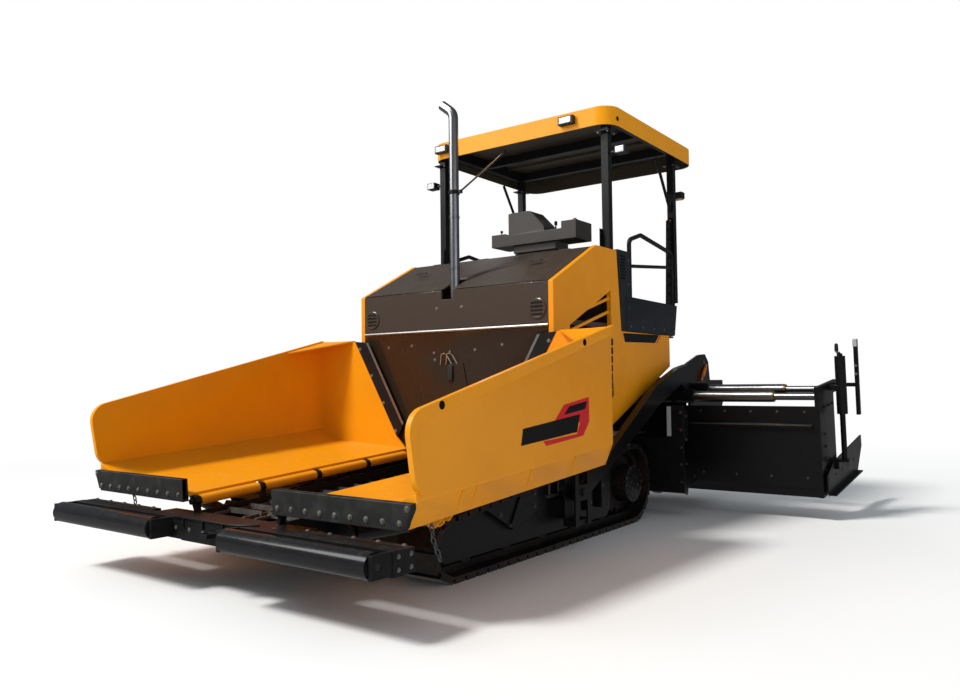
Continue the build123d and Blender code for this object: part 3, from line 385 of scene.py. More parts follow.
@dataclass(frozen=True)
class Lens:
    """Clear or tinted lamp glass over bright ribs."""

    name: str
    colour: Colour
    rib_scale: float = 60.0

    def build(self) -> bpy.types.Material:
        """Makes the material.

        Returns:
            The new material.
        """
        graph = Graph(self.name)
        feeds = {"Vector": graph.place(), "Scale": self.rib_scale}
        ribs = graph.add("ShaderNodeTexWave", {"bands_direction": "Z"}, feeds, 1)
        graph.set("Base Color", graph.mix(ribs, self.colour, shade(self.colour, 0.6)))
        graph.set("Roughness", 0.08 + ribs * 0.1)
        graph.set("Metallic", 0.2)
        graph.set("Coat Weight", 1.0)
        graph.set("Coat Roughness", 0.03)
        graph.bump(ribs, 0.2, 0.001)
        return graph.material


class Finish(Enum):
    """Every finish of the machine."""

    YELLOW = Paint("yellow_paint", (0.85, 0.31, 0.002), 0.34, 0.05, 0.08)
    CANOPY = Paint("canopy_paint", (0.88, 0.345, 0.002), 0.3, 0.05, 0.05)
    BROWN = Paint("hood_brown_paint", (0.058, 0.042, 0.032), 0.3, 0.25, 0.12, (0.2, 0.17, 0.14))
    BLACK = Paint("black_paint", (0.006, 0.006, 0.007), 0.4, 0.08, 0.16, (0.14, 0.13, 0.12))
    SCREED = Paint("screed_black_paint", (0.004, 0.004, 0.005), 0.34, 0.1, 0.08, (0.12, 0.11, 0.1))
    TUB = Paint("platform_black_paint", (0.012, 0.015, 0.021), 0.36, 0.15, 0.08, (0.14, 0.13, 0.12))
    CONSOLE = Moulded("console_grey_plastic", (0.05, 0.043, 0.038), 0.45)
    TRACK = Steel("track_steel", (0.035, 0.032, 0.03), 0.42, 0.5, 0.75)
    WORN = Steel("worn_steel", (0.2, 0.19, 0.18), 0.36, 0.55)
    ROLLER = Paint("roller_black_paint", (0.009, 0.009, 0.0105), 0.2, 0.5, 0.1, (0.14, 0.13, 0.12))
    STACK = Steel("stack_steel", (0.46, 0.47, 0.49), 0.24, 0.0, 1.0, (1.0, 1.0, 0.12), 40.0)
    CHROME = Steel("chromed_rod", (0.62, 0.63, 0.65), 0.08, 0.0)
    BOLT = Steel("zinc_bolts", (0.6, 0.58, 0.52), 0.3, 0.1)
    RUBBER = Moulded("rubber_flap", (0.012, 0.012, 0.012), 0.62, 220.0, 0.3, 0.3)
    PLASTIC = Moulded("black_plastic", (0.013, 0.013, 0.014), 0.5)
    ENGINE = Steel("engine_iron", (0.09, 0.09, 0.1), 0.5, 0.2, 0.7)
    LEATHER = Leather("seat_leather", (0.013, 0.0125, 0.012))
    CLEAR = Lens("lamp_glass", (0.75, 0.77, 0.8))
    AMBER = Lens("amber_glass", (0.8, 0.26, 0.01))
    RED = Moulded("red_plastic", (0.55, 0.012, 0.01), 0.3, 200.0, 0.1, 0.02)
    STRIPE_RED = Paint("stripe_red", (0.62, 0.008, 0.016), 0.4, 0.0, 0.02)
    STRIPE_BLACK = Paint("stripe_black", (0.004, 0.004, 0.0045), 0.4, 0.0, 0.02)
    ORANGE = Paint("orange_paint", (0.8, 0.2, 0.01), 0.3, 0.3, 0.06)
    GREY = Paint("silver_paint", (0.42, 0.43, 0.44), 0.3, 0.3, 0.06)
    LINER = Paint("canopy_liner", (0.045, 0.032, 0.018), 0.5, 0.05, 0.05)
    MESH = Paint("perforated_sheet", (0.16, 0.18, 0.21), 0.35, 0.2, 0.05)
    # Painted shade: a near-black finish that stands in for the shaded insides of holes, slots and grooves.
    PAINTED_SHADE = Moulded("painted_shade_opening", (0.002, 0.002, 0.002), 0.9, 200.0, 0.0, 0.0)
    WALL = Paint("hopper_wall_paint", (0.034, 0.021, 0.012), 0.2, 0.5, 0.5, (0.004, 0.003, 0.003), 0.6)
    GUIDE = Steel("ground_guide_steel", (0.3, 0.32, 0.34), 0.25, 0.0, 1.0, (0.1, 1.0, 1.0), 30.0)
    BRASS = Steel("brass_collar", (0.55, 0.3, 0.09), 0.3, 0.0)
    TRIM = Steel("trim_strip", (0.5, 0.5, 0.5), 0.3, 0.05)


class Shop:
    """Makes each finish once and keeps it."""

    def __init__(self) -> None:
        """Starts with no materials made."""
        self._made: dict[Finish, bpy.types.Material] = {}

    def get(self, finish: Finish) -> bpy.types.Material:
        """The material of a finish.

        Args:
            finish: The finish.

        Returns:
            Its material, made when it is first asked for.
        """
        if finish not in self._made:
            self._made[finish] = finish.value.build()
        return self._made[finish]


SHOP = Shop()

SLOT_FINISH = {
    "body_paint": Finish.YELLOW,
    "canopy": Finish.CANOPY,
    "hood_paint": Finish.BROWN,
    "dark_frame": Finish.BLACK,
    "screed_paint": Finish.SCREED,
    "dark_panel": Finish.TUB,
    "console": Finish.CONSOLE,
    "track_steel": Finish.TRACK,
    "bare_steel": Finish.WORN,
    "roller_steel": Finish.ROLLER,
    "exhaust": Finish.STACK,
    "chrome_rod": Finish.CHROME,
    "rubber": Finish.RUBBER,
    "engine": Finish.ENGINE,
    "seat": Finish.LEATHER,
    "lamp": Finish.PLASTIC,
}


class Plane(Enum):
    """Planes that outlines are drawn in: the ways of their first and second coordinate."""

    SIDE = (REARWARD, UPWARD)
    FRONT = (LEFTWARD, UPWARD)
    TOP = (LEFTWARD, REARWARD)
    HANGING = (LEFTWARD, DOWNWARD)
    LID = (LEFTWARD, (0.0, 0.928, 0.371))


class Shape:
    """Collects faces, in metres and in the machine's frame, into one piece."""

    def __init__(self) -> None:
        """Starts an empty shape."""
        self.mesh = bmesh.new()

    def _close(self, loops: Iterable[Sequence]) -> "Shape":
        """Adds faces and turns them outwards.

        Args:
            loops: Each face's corners.

        Returns:
            This shape.
        """
        faces = [self.mesh.faces.new(loop) for loop in loops]
        bmesh.ops.recalc_face_normals(self.mesh, faces=faces)
        return self

    @staticmethod
    def _bridge(first: list, second: list) -> list[list]:
        """Joins two rings of corners, either of which may be a single corner.

        Args:
            first: One ring.
            second: The other one.

        Returns:
            The corners of the faces between them.
        """
        count, loops = max(len(first), len(second)), []
        for number in range(count):
            after = (number + 1) % count
            steps = ((first, number), (first, after), (second, after), (second, number))
            loops.append(list(dict.fromkeys(ring[step % len(ring)] for ring, step in steps)))
        return loops

    def _ring(self, centre: Vector, out: Vector, other: Vector, radius: float, sides: int) -> list:
        """Adds a circle of corners, or a single one where the radius is 0.

        Args:
            centre: The circle's middle.
            out: Direction of the first corner.
            other: Direction of the corner a quarter on.
            radius: The circle's radius.
            sides: Number of corners.

        Returns:
            The corners.
        """
        if radius == 0:
            return [self.mesh.verts.new(centre)]
        turns = [math.tau * number / sides for number in range(sides)]
        ways = [out * math.cos(turn) + other * math.sin(turn) for turn in turns]
        return [self.mesh.verts.new(centre + way * radius) for way in ways]

    def prism(self, origin: Point, plane: Plane, outline: Iterable[Point], depth: float) -> "Shape":
        """Adds an extruded outline.

        Args:
            origin: Where the outline's own zero lies.
            plane: The plane that it is drawn in.
            outline: Corner points.
            depth: How far it goes along the plane's normal.

        Returns:
            This shape.
        """
        start = Vector(origin)
        first, second = (Vector(way).normalized() for way in plane.value)
        along = first.cross(second) * depth
        near = [self.mesh.verts.new(start + first * a + second * b) for a, b in outline]
        far = [self.mesh.verts.new(corner.co + along) for corner in near]
        return self._close([near[::-1], far, *self._bridge(near, far)])

    def box(self, low: Point, high: Point) -> "Shape":
        """Adds a box between two corners."""
        width, height = high[0] - low[0], high[1] - low[1]
        return self.prism(low, Plane.TOP, [(0, 0), (width, 0), (width, height), (0, height)], high[2] - low[2])

    def lathe(self, origin: Point, axis: Point, profile: Sequence[Point], sides: int) -> "Shape":
        """Adds a turned form.

        Args:
            origin: Where the profile's own zero lies.
            axis: The axis that it turns round.
            profile: Points (along, radius); a radius of 0 closes an end.
            sides: Number of sides.

        Returns:
            This shape.
        """
        start, along = Vector(origin), Vector(axis).normalized()
        out = along.orthogonal().normalized()
        other = along.cross(out)
        rings = [self._ring(start + along * distance, out, other, radius, sides) for distance, radius in profile]
        loops = [loop for first, second in zip(rings, rings[1:]) for loop in self._bridge(first, second)]
        return self._close(loops + [ring for ring in (rings[0], rings[-1]) if len(ring) > 1])

    def tube(self, points: Sequence[Point], radius: float, sides: int, bend: float = 0.0) -> "Shape":
        """Adds a round bar along points, with its corners rounded.

        Args:
            points: Corner points.
            radius: Radius of the bar.
            sides: Number of sides.
            bend: Bend radius at each inner corner.

        Returns:
            This shape.
        """
        path = self._curved([Vector(point) for point in points], bend)
        lines = [(after - before).normalized() for before, after in zip(path, path[1:])]
        side, rings = lines[0].orthogonal().normalized(), []
        for spot, before, after in zip(path, lines[:1] + lines, lines + lines[-1:]):
            facing = (before + after).normalized()
            side = (side - facing * side.dot(facing)).normalized()
            rings.append(self._ring(spot, side, facing.cross(side), radius, sides))
        loops = [loop for first, second in zip(rings, rings[1:]) for loop in self._bridge(first, second)]
        return self._close([rings[0][::-1], rings[-1], *loops])

    @staticmethod
    def _curved(points: list[Vector], bend: float, steps: int = 5) -> list[Vector]:
        """Replaces each inner corner by a short curve.

        Args:
            points: Corner points.
            bend: Bend radius, or 0 to leave them.
            steps: Number of parts of each curve.

        Returns:
            The points of the path.
        """
        path = [points[0]]
        for before, corner, after in zip(points, points[1:], points[2:]):
            back, onward = before - corner, after - corner
            reach = min(bend, back.length * 0.48, onward.length * 0.48)
            start, finish = corner + back.normalized() * reach, corner + onward.normalized() * reach
            shares = [step / steps for step in range(steps + 1)] if bend else [0.0]
            path += [start.lerp(corner, share).lerp(corner.lerp(finish, share), share) for share in shares]
        return path + [points[-1]]

    def carried(self, space: Matrix) -> "Shape":
        """Moves everything in the shape into a tilted frame."""
        bmesh.ops.transform(self.mesh, matrix=space, verts=self.mesh.verts)
        return self

    def data(self, name: str) -> bpy.types.Mesh:
        """Writes the shape to a mesh and ends it.

        Args:
            name: The mesh's name.

        Returns:
            The new mesh.
        """
        data = bpy.data.meshes.new(name)
        self.mesh.to_mesh(data)
        self.mesh.free()
        return data

    def piece(
        self, name: str, finish: Finish, body: str, bevel: float = 0.0, smooth: float = SMOOTH, flip: bool = False
    ) -> bpy.types.Object:
        """Turns the shape into a finished piece.

        Args:
            name: The piece's name.
            finish: Its finish.
            body: The body that it rides on.
            bevel: Width of its rounded edges.
            smooth: Edges flatter than this many degrees are shaded smooth.
            flip: Whether it goes to the machine's other side, as a mirror image.

        Returns:
            The new object.
        """
        if flip:
            self.carried(Matrix.Scale(-1.0, 4, LEFTWARD))
            bmesh.ops.reverse_faces(self.mesh, faces=self.mesh.faces)
        return settle(bpy.data.objects.new(name, self.data(name)), finish, body, bevel, smooth)


def settle(item: bpy.types.Object, finish: Finish, body: str, bevel: float, smooth: float) -> bpy.types.Object:
    """Links a piece, dresses it and lets it ride.

    Args:
        item: The object, not yet in the scene.
        finish: Its finish.
        body: The body that it rides on.
        bevel: Width of its rounded edges.
        smooth: Edges flatter than this many degrees are shaded smooth.

    Returns:
        The same object.
    """
    bpy.context.scene.collection.objects.link(item)
    item.data.materials.clear()
    item.data.materials.append(SHOP.get(finish))
    item.data.polygons.foreach_set("use_smooth", [True] * len(item.data.polygons))
    item.data.set_sharp_from_angle(angle=math.radians(smooth))
    if bevel:
        rounding = item.modifiers.new("edges", "BEVEL")
        rounding.width = bevel
        rounding.segments = EDGE_STEPS
        rounding.limit_method = "ANGLE"
        rounding.angle_limit = math.radians(EDGE_ANGLE)
        rounding.harden_normals = False
    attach(item, body)
    log.info("%s rides on %s", item.name, body)
    return item


class Plan(Tree):
    """A Geometry Nodes tree with its geometry input and named sizes."""

    def __init__(self, name: str, sizes: dict[str, float]) -> None:
        """Makes the tree's interface.

        Args:
            name: The tree's name.
            sizes: Its named inputs and their values.
        """
        group = bpy.data.node_groups.new(name, "GeometryNodeTree")
        sockets = group.interface
        sockets.new_socket("Geometry", in_out="INPUT", socket_type="NodeSocketGeometry")
        self.sizes = {
            label: (sockets.new_socket(label, in_out="INPUT", socket_type="NodeSocketFloat").identifier, value)
            for label, value in sizes.items()
        }
        sockets.new_socket("Geometry", in_out="OUTPUT", socket_type="NodeSocketGeometry")
        super().__init__(group)
        self.start = self.add("NodeGroupInput", {}, {}, "Geometry")

    def size(self, label: str) -> Wire:
        """One of the tree's named sizes."""
        return Wire(self, self.start.socket.node.outputs[label])

    def finish(self, instances: Wire, finish: Finish) -> None:
        """Ends the tree with real geometry in a finish.

        Args:
            instances: What the tree has set out.
            finish: The finish that it gets.
        """
        real = self.add("GeometryNodeRealizeInstances", {}, {"Geometry": instances})
        dressed = self.add("GeometryNodeSetMaterial", {}, {"Geometry": real, "Material": SHOP.get(finish)})
        self.add("NodeGroupOutput", {}, {"Geometry": dressed}, None)

    def grow(self, seed: bpy.types.Mesh, name: str, finish: Finish, body: str) -> bpy.types.Object:
        """Runs the tree on a mesh and makes the result a plain piece.

        Args:
            seed: The mesh that the tree starts from.
            name: The piece's name.
            finish: Its finish.
            body: The body that it rides on.

        Returns:
            The new object.
        """
        holder = bpy.data.objects.new(f"{name}_seed", seed)
        bpy.context.scene.collection.objects.link(holder)
        modifier = holder.modifiers.new("plan", "NODES")
        modifier.node_group = self.tree
        for identifier, value in self.sizes.values():
            modifier[identifier] = value
        graph = bpy.context.evaluated_depsgraph_get()
        data = bpy.data.meshes.new_from_object(holder.evaluated_get(graph))
        data.name = name
        holder.modifiers.remove(modifier)
        bpy.data.objects.remove(holder)
        return settle(bpy.data.objects.new(name, data), finish, body, 0.0, SMALL_SMOOTH)


class Head(Enum):
    """The forms of small parts that repeat."""

    BOLT = "hexagon head on a washer"
    DISC = "flat round disc"
    SLOT = "small box"


HEAD_SIDES = {Head.BOLT: 6, Head.DISC: 20}
# Sides of a bolt's washer and stud, with radius and depth as shares of the head's.
WASHER, STUD = (16, 1.45, 0.4), (10, 0.45, 2.5)
Spot = tuple[Point, Point]


@dataclass(frozen=True)
class Small:
    """A small part that repeats: its form and its sizes."""

    head: Head
    radius: float
    height: float
    width: float = 0.0

    def spread(self, spots: Sequence[Spot], name: str, finish: Finish, body: str) -> bpy.types.Object:
        """Sets the part out by Geometry Nodes, on points that each face their own way.

        Args:
            spots: Each part's foot and the way it faces.
            name: The piece's name.
            finish: Its finish.
            body: The body that it rides on.

        Returns:
            The new object.
        """
        seed = bpy.data.meshes.new(f"{name}_points")
        seed.from_pydata([tuple(place) for place, _ in spots], [], [])
        facing = seed.attributes.new("facing", "FLOAT_VECTOR", "POINT")
        facing.data.foreach_set("vector", [value for _, way in spots for value in way])
        plan = Plan(name, {"Radius": self.radius, "Height": self.height, "Width": self.width or self.radius})
        way = plan.add("GeometryNodeInputNamedAttribute", {"data_type": "FLOAT_VECTOR"}, {"Name": "facing"})
        turn = plan.add("FunctionNodeAlignRotationToVector", {"axis": "Z"}, {"Vector": way})
        feeds = {"Points": plan.start, "Instance": self._part(plan), "Rotation": turn}
        plan.finish(plan.add("GeometryNodeInstanceOnPoints", {}, feeds), finish)
        return plan.grow(seed, name, finish, body)

    def _part(self, plan: Plan) -> Wire:
        """Draws one part, standing on its point.

        Args:
            plan: The tree that it is drawn in.

        Returns:
            Its geometry.
        """
        radius, height, width = plan.size("Radius"), plan.size("Height"), plan.size("Width")
        lift = plan.add("ShaderNodeCombineXYZ", {}, {"Z": height * 0.5})
        if self.head is Head.SLOT:
            size = plan.add("ShaderNodeCombineXYZ", {}, {"X": radius * 2.0, "Y": width * 2.0, "Z": height})
            box = plan.add("GeometryNodeMeshCube", {}, {"Size": size})
            return plan.add("GeometryNodeTransform", {}, {"Geometry": box, "Translation": lift})
        head = self._disc(plan, HEAD_SIDES[self.head], radius, height)
        head = plan.add("GeometryNodeTransform", {}, {"Geometry": head, "Translation": lift})
        if self.head is Head.DISC:
            return head
        joined = plan.add("GeometryNodeJoinGeometry", {}, {"Geometry": head})
        for count, wide, deep in (WASHER, STUD):
            extra = self._disc(plan, count, radius * wide, height * deep)
            plan.tree.links.new(extra.socket, joined.socket.node.inputs["Geometry"])
        return joined

    @staticmethod
    def _disc(plan: Plan, sides: int, radius: Wire, depth: Wire) -> Wire:
        """A closed cylinder round its point."""
        feeds = {"Vertices": sides, "Radius": radius, "Depth": depth}
        return plan.add("GeometryNodeMeshCylinder", {}, feeds, "Mesh")


def at(facing: Point, *points: Point) -> list[Spot]:
    """Single spots that all face one way."""
    return [(point, facing) for point in points]


def row(first: Point, last: Point, count: int, facing: Point = LEFTWARD) -> list[Spot]:
    """Sets spots out evenly in a row.

    Args:
        first: The first spot.
        last: The last spot.
        count: How many there are.
        facing: The way that they face.

    Returns:
        The spots.
    """
    start, finish = Vector(first), Vector(last)
    return [(start.lerp(finish, number / max(count - 1, 1)), facing) for number in range(count)]


def circle(centre: Point, axis: Point, radius: float, count: int) -> list[Spot]:
    """Sets spots out in a circle.

    Args:
        centre: The circle's middle.
        axis: The axis that they stand round and face along.
        radius: The circle's radius.
        count: How many there are.

    Returns:
        The spots.
    """
    along = Vector(axis).normalized()
    out = along.orthogonal().normalized()
    other = along.cross(out)
    angles = [math.tau * number / count for number in range(count)]
    return [(Vector(centre) + (out * math.cos(turn) + other * math.sin(turn)) * radius, axis) for turn in angles]


@dataclass(frozen=True)
class Chain:
    """A short steel chain, its links set out by Geometry Nodes along a path."""

    link: float = 0.036
    wire: float = 0.0042
    overlap: float = 0.78
    narrow: float = 0.62

    def piece(self, path: Sequence[Point], name: str, finish: Finish, body: str) -> bpy.types.Object:
        """Grows the chain.

        Args:
            path: The points that it follows.
            name: The piece's name.
            finish: Its finish.
            body: The body that it rides on.

        Returns:
            The new object.
        """
        seed = bpy.data.meshes.new(f"{name}_path")
        seed.from_pydata(path, [(number, number + 1) for number in range(len(path) - 1)], [])
        plan = Plan(name, {"Link": self.link, "Wire": self.wire})
        curve = plan.add("GeometryNodeMeshToCurve", {}, {"Mesh": plan.start})
        feeds = {"Curve": curve, "Length": plan.size("Link") * self.overlap}
        points = plan.add("GeometryNodeResampleCurve", {"mode": "LENGTH"}, feeds)
        loop = plan.add("GeometryNodeCurvePrimitiveCircle", {}, {"Resolution": 16, "Radius": plan.size("Link") * 0.5})
        loop = plan.add("GeometryNodeTransform", {}, {"Geometry": loop, "Scale": (1.0, self.narrow, 1.0)})
        section = plan.add("GeometryNodeCurvePrimitiveCircle", {}, {"Resolution": 8, "Radius": plan.size("Wire")})
        link = plan.add("GeometryNodeCurveToMesh", {}, {"Curve": loop, "Profile Curve": section})
        tangent = plan.add("GeometryNodeInputTangent", {}, {})
        aim = plan.add("FunctionNodeAlignRotationToVector", {"axis": "X"}, {"Vector": tangent})
        quarter = plan.add("GeometryNodeInputIndex", {}, {}) * (math.pi / 2)
        twist = plan.add("FunctionNodeAxisAngleToRotation", {}, {"Axis": LEFTWARD, "Angle": quarter})
        feeds = {"Rotation": aim, "Rotate By": twist}
        turn = plan.add("FunctionNodeRotateRotation", {"rotation_space": "LOCAL"}, feeds)
        feeds = {"Points": points, "Instance": link, "Rotation": turn}
        plan.finish(plan.add("GeometryNodeInstanceOnPoints", {}, feeds), finish)
        return plan.grow(seed, name, finish, body)


def raised() -> Matrix:
    """The screed's own frame: X across, Y back from the tow pins, Z up from the ground when lowered."""
    pivot = Matrix.Translation(Vector(TOW_PIVOT))
    return pivot @ Matrix.Rotation(RAISE, 4, "X") @ Matrix.Translation(Vector((0.0, 0.0, -TOW_PIVOT[2])))


def hinged() -> Matrix:
    """A wing's own frame: X out from its hinge, Y back along the hinge and Z up."""
    return Matrix.Translation(Vector(HINGE_START)) @ Matrix.Rotation(HINGE_RISE, 4, "X")


@dataclass(frozen=True)
class Bench:
    """Where new pieces go: the body that they ride on, their side and the frame that they are drawn in."""

    body: str = "machine"
    side: str = ""
    flip: bool = False
    space: Matrix = field(default_factory=lambda: Matrix.Identity(4))

    def name(self, stem: str) -> str:
        """A piece's name with its side."""
        return f"{stem}_{self.side}" if self.side else stem

    def keep(self, shape: Shape, stem: str, finish: Finish, bevel: float = 0.0) -> bpy.types.Object:
        """Turns a shape into a piece."""
        return shape.carried(self.space).piece(self.name(stem), finish, self.body, bevel, flip=self.flip)

    def plates(self, stem: str, finish: Finish, bevel: float, *plates: tuple) -> bpy.types.Object:
        """Makes one piece of extruded outlines.

        Args:
            stem: The piece's name without its side.
            finish: Its finish.
            bevel: Width of its rounded edges.
            plates: What Shape.prism takes, for each of them.

        Returns:
            The new object.
        """
        shape = Shape()
        for plate in plates:
            shape.prism(*plate)
        return self.keep(shape, stem, finish, bevel)

    def boxes(self, stem: str, finish: Finish, bevel: float, *boxes: tuple[Point, Point]) -> bpy.types.Object:
        """Makes one piece of boxes.

        Args:
            stem: The piece's name without its side.
            finish: Its finish.
            bevel: Width of its rounded edges.
            boxes: Two opposite corners of each.

        Returns:
            The new object.
        """
        shape = Shape()
        for low, high in boxes:
            shape.box(low, high)
        return self.keep(shape, stem, finish, bevel)

    def turned(
        self, stem: str, finish: Finish, axis: Point, sides: int, profile: Sequence[Point], *centres: Point
    ) -> bpy.types.Object:
        """Makes one piece of equal turned forms.

        Args:
            stem: The piece's name without its side.
            finish: Its finish.
            axis: The axis that they turn round.
            sides: Number of sides.
            profile: Points (along, radius).
            centres: Where each profile's own zero lies.

        Returns:
            The new object.
        """
        shape = Shape()
        for centre in centres:
            shape.lathe(centre, axis, profile, sides)
        return self.keep(shape, stem, finish)

    def spread(self, stem: str, finish: Finish, small: Small, spots: Sequence[Spot]) -> bpy.types.Object:
        """Makes one piece of small parts that repeat.

        Args:
            stem: The piece's name without its side.
            finish: Its finish.
            small: The part.
            spots: Where each stands and the way it faces.

        Returns:
            The new object.
        """
        turn = self.space.to_3x3()
        mirror = Vector((-1.0 if self.flip else 1.0, 1.0, 1.0))
        set_out = [((self.space @ Vector(place)) * mirror, (turn @ Vector(way)) * mirror) for place, way in spots]
        return small.spread(set_out, self.name(stem), finish, self.body)


def both(body: str = "machine", paired: bool = False, space: Matrix = Matrix.Identity(4)) -> list[Bench]:
    """The left and the right bench.

    Args:
        body: The body that their pieces ride on.
        paired: Whether each side has its own such body.
        space: The frame that the pieces are drawn in.

    Returns:
        Both benches; what is drawn for the left is mirrored for the right.
    """
    sides = (("left", False), ("right", True))
    return [Bench(f"{body}_{side}" if paired else body, side, flip, space) for side, flip in sides]


@dataclass(frozen=True)
class Lamp:
    """One lamp: a square one of a size in metres and power in watts, or a sun of a spread in degrees."""

    name: str
    kind: str
    spot: Point
    target: Point
    size: float
    power: float
    colour: Colour

    def hang(self) -> None:
        """Puts the lamp in the scene."""
        data = bpy.data.lights.new(self.name, self.kind)
        if self.kind == "SUN":
            data.angle = math.radians(self.size)
        else:
            data.size = self.size
        data.energy = self.power
        data.color = self.colour
        lamp = bpy.data.objects.new(self.name, data)
        facing = (Vector(self.target) - Vector(self.spot)).to_track_quat("-Z", "Y")
        lamp.matrix_world = Matrix.Translation(Vector(self.spot)) @ facing.to_matrix().to_4x4()
        bpy.context.scene.collection.objects.link(lamp)


WARM, COOL = (1.0, 0.985, 0.95), (0.95, 0.98, 1.0)
LAMPS = (
    Lamp("sun", "SUN", (-3.0, -4.5, 7.0), (0.0, 0.0, 0.0), 12.0, 2.9, WARM),
    Lamp("key", "AREA", (-4.5, -6.5, 6.5), (0.0, -0.5, 1.2), 4.0, 210.0, WARM),
    Lamp("fill", "AREA", (9.0, -5.0, 3.0), (0.5, 0.0, 1.0), 4.0, 45.0, COOL),
    Lamp("rim", "AREA", (-5.0, 8.5, 5.0), (0.0, 1.0, 1.2), 4.0, 120.0, WHITE),
)


@dataclass
class Studio:
    """Camera, lamps, floor and backdrop."""

    eye: Point = (3.86088, -5.34496, 1.16444)
    heading: float = 36.4
    pitch: float = 2.21
    roll: float = -0.65
    focal_px: float = 799.45
    width_px: float = 960.0
    sensor: float = 36.0
    floor_half: float = 60.0
    floor_colour: Colour = (0.86, 0.86, 0.86)
    floor_pale: Colour = (0.89, 0.89, 0.89)
    floor_reach: float = 16.0
    floor_mirrored: float = 0.22
    sky_colour: Colour = (0.88, 0.94, 1.0)
    sky_strength: float = 0.42
    mirror_loss: float = 0.72

    def build(self) -> None:
        """Makes everything round the machine."""
        self._camera()
        self._floor()
        self._world()
        for lamp in LAMPS:
            lamp.hang()
        bpy.context.scene.view_settings.view_transform = "Standard"

    def _camera(self) -> None:
        """Places the camera as the photograph was taken."""
        turn, tip, lean = (math.radians(value) for value in (self.heading, self.pitch, self.roll))
        ahead = Vector((-math.sin(turn) * math.cos(tip), math.cos(turn) * math.cos(tip), math.sin(tip)))
        level = Vector((math.cos(turn), math.sin(turn), 0.0))
        top = level.cross(ahead)
        across = level * math.cos(lean) + top * math.sin(lean)
        up = top * math.cos(lean) - level * math.sin(lean)
        data = bpy.data.cameras.new("camera")
        data.sensor_width = self.sensor
        data.lens = self.focal_px / self.width_px * self.sensor
        camera = bpy.data.objects.new("camera", data)
        frame = Matrix((across, up, -ahead)).transposed().to_4x4()
        frame.translation = Vector(self.eye)
        camera.matrix_world = frame
        bpy.context.scene.collection.objects.link(camera)
        bpy.context.scene.camera = camera

    def _floor(self) -> None:
        """Lays a large pale floor that turns white far off and dims in reflections."""
        data = bpy.data.meshes.new("floor")
        half = self.floor_half
        data.from_pydata([(-half, -half, 0), (half, -half, 0), (half, half, 0), (-half, half, 0)], [], [(0, 1, 2, 3)])
        floor = bpy.data.objects.new("floor", data)
        bpy.context.scene.collection.objects.link(floor)
        graph = Graph("pale_floor")
        graph.set("Base Color", graph.mix(graph.noise(0.8, 3.0), self.floor_colour, self.floor_pale))
        graph.set("Roughness", 0.6)
        distance = graph.add("ShaderNodeVectorMath", {"operation": "LENGTH"}, {0: graph.place()}, "Value")
        far = graph.ramp(distance * (1.0 / self.floor_reach), 0.3, 0.62)
        seen = graph.add("ShaderNodeLightPath", {}, {}, "Is Camera Ray")
        mirrored = Wire(graph, seen.socket.node.outputs["Is Glossy Ray"])
        white = graph.add("ShaderNodeEmission", {}, {"Color": WHITE, "Strength": 1.0})
        dim = graph.add("ShaderNodeEmission", {}, {"Color": WHITE, "Strength": self.floor_mirrored})
        body = Wire(graph, graph.shader.outputs["BSDF"])
        body = graph.add("ShaderNodeMixShader", {}, {0: mirrored, 1: body, 2: dim})
        surface = graph.add("ShaderNodeMixShader", {}, {0: far * seen, 1: body, 2: white})
        graph.feed(graph.output.inputs["Surface"], surface)
        data.materials.append(graph.material)

    def _world(self) -> None:
        """Gives a white background and a soft, even sky light."""
        world = bpy.data.worlds.new("studio")
        bpy.context.scene.world = world
        world.use_nodes = True
        sky = Tree(world.node_tree)
        camera_ray = sky.add("ShaderNodeLightPath", {}, {}, "Is Camera Ray")
        glossy_ray = Wire(sky, camera_ray.socket.node.outputs["Is Glossy Ray"])
        clear_ray = Wire(sky, camera_ray.socket.node.outputs["Is Transmission Ray"])
        seen = camera_ray.at_least(clear_ray)
        level = (1.0 - glossy_ray * self.mirror_loss) * self.sky_strength
        soft = sky.add("ShaderNodeBackground", {}, {"Color": self.sky_colour, "Strength": level})
        white = sky.add("ShaderNodeBackground", {}, {"Color": WHITE, "Strength": 1.0})
        blend = sky.add("ShaderNodeMixShader", {}, {"Fac": seen, 1: soft, 2: white})
        sky.add("ShaderNodeOutputWorld", {}, {"Surface": blend}, None)


@dataclass(frozen=True)
class Accent:
    """Another finish for the faces of a solid whose middles lie in a box, on either side."""

    stem: str
    low: Point
    high: Point
    finish: Finish
    towards: Union[Point, None] = None

    def holds(self, spot: Vector, normal: Vector) -> bool:
        """Tells whether a face gets the finish.

        Args:
            spot: The face's middle.
            normal: The way that it faces.

        Returns:
            Whether it lies in the box and faces the chosen point, if there is one.
        """
        if self.towards is not None and normal.dot(Vector(self.towards) - spot) <= 0.0:
            return False
        inside = Vector((abs(spot.x), spot.y, spot.z))
        return all(self.low[axis] <= inside[axis] <= self.high[axis] for axis in range(3))


ACCENTS = (
    Accent("canopy_roof", (0.0, 0.436, 3.2), (0.935, 2.196, 3.3895), Finish.LINER, (0.0, 1.3, 2.0)),
    Accent("hopper_back_wall", (0.0, -0.6, 0.3), (1.2, -0.4, 1.546), Finish.WALL),
    Accent("hopper_back_wall", (0.0, -0.6, 1.546), (1.2, -0.4, 1.7), Finish.TRIM),
    Accent("screed_extension", (1.03, 1.44, 0.955), (2.19, 1.545, 1.06), Finish.GUIDE),
    Accent("screed_extension", (1.03, 1.79, 1.008), (2.19, 1.895, 1.112), Finish.GUIDE),
    Accent("handrails", (0.838, 1.6, 1.9), (0.866, 1.9, 3.2), Finish.MESH),
)

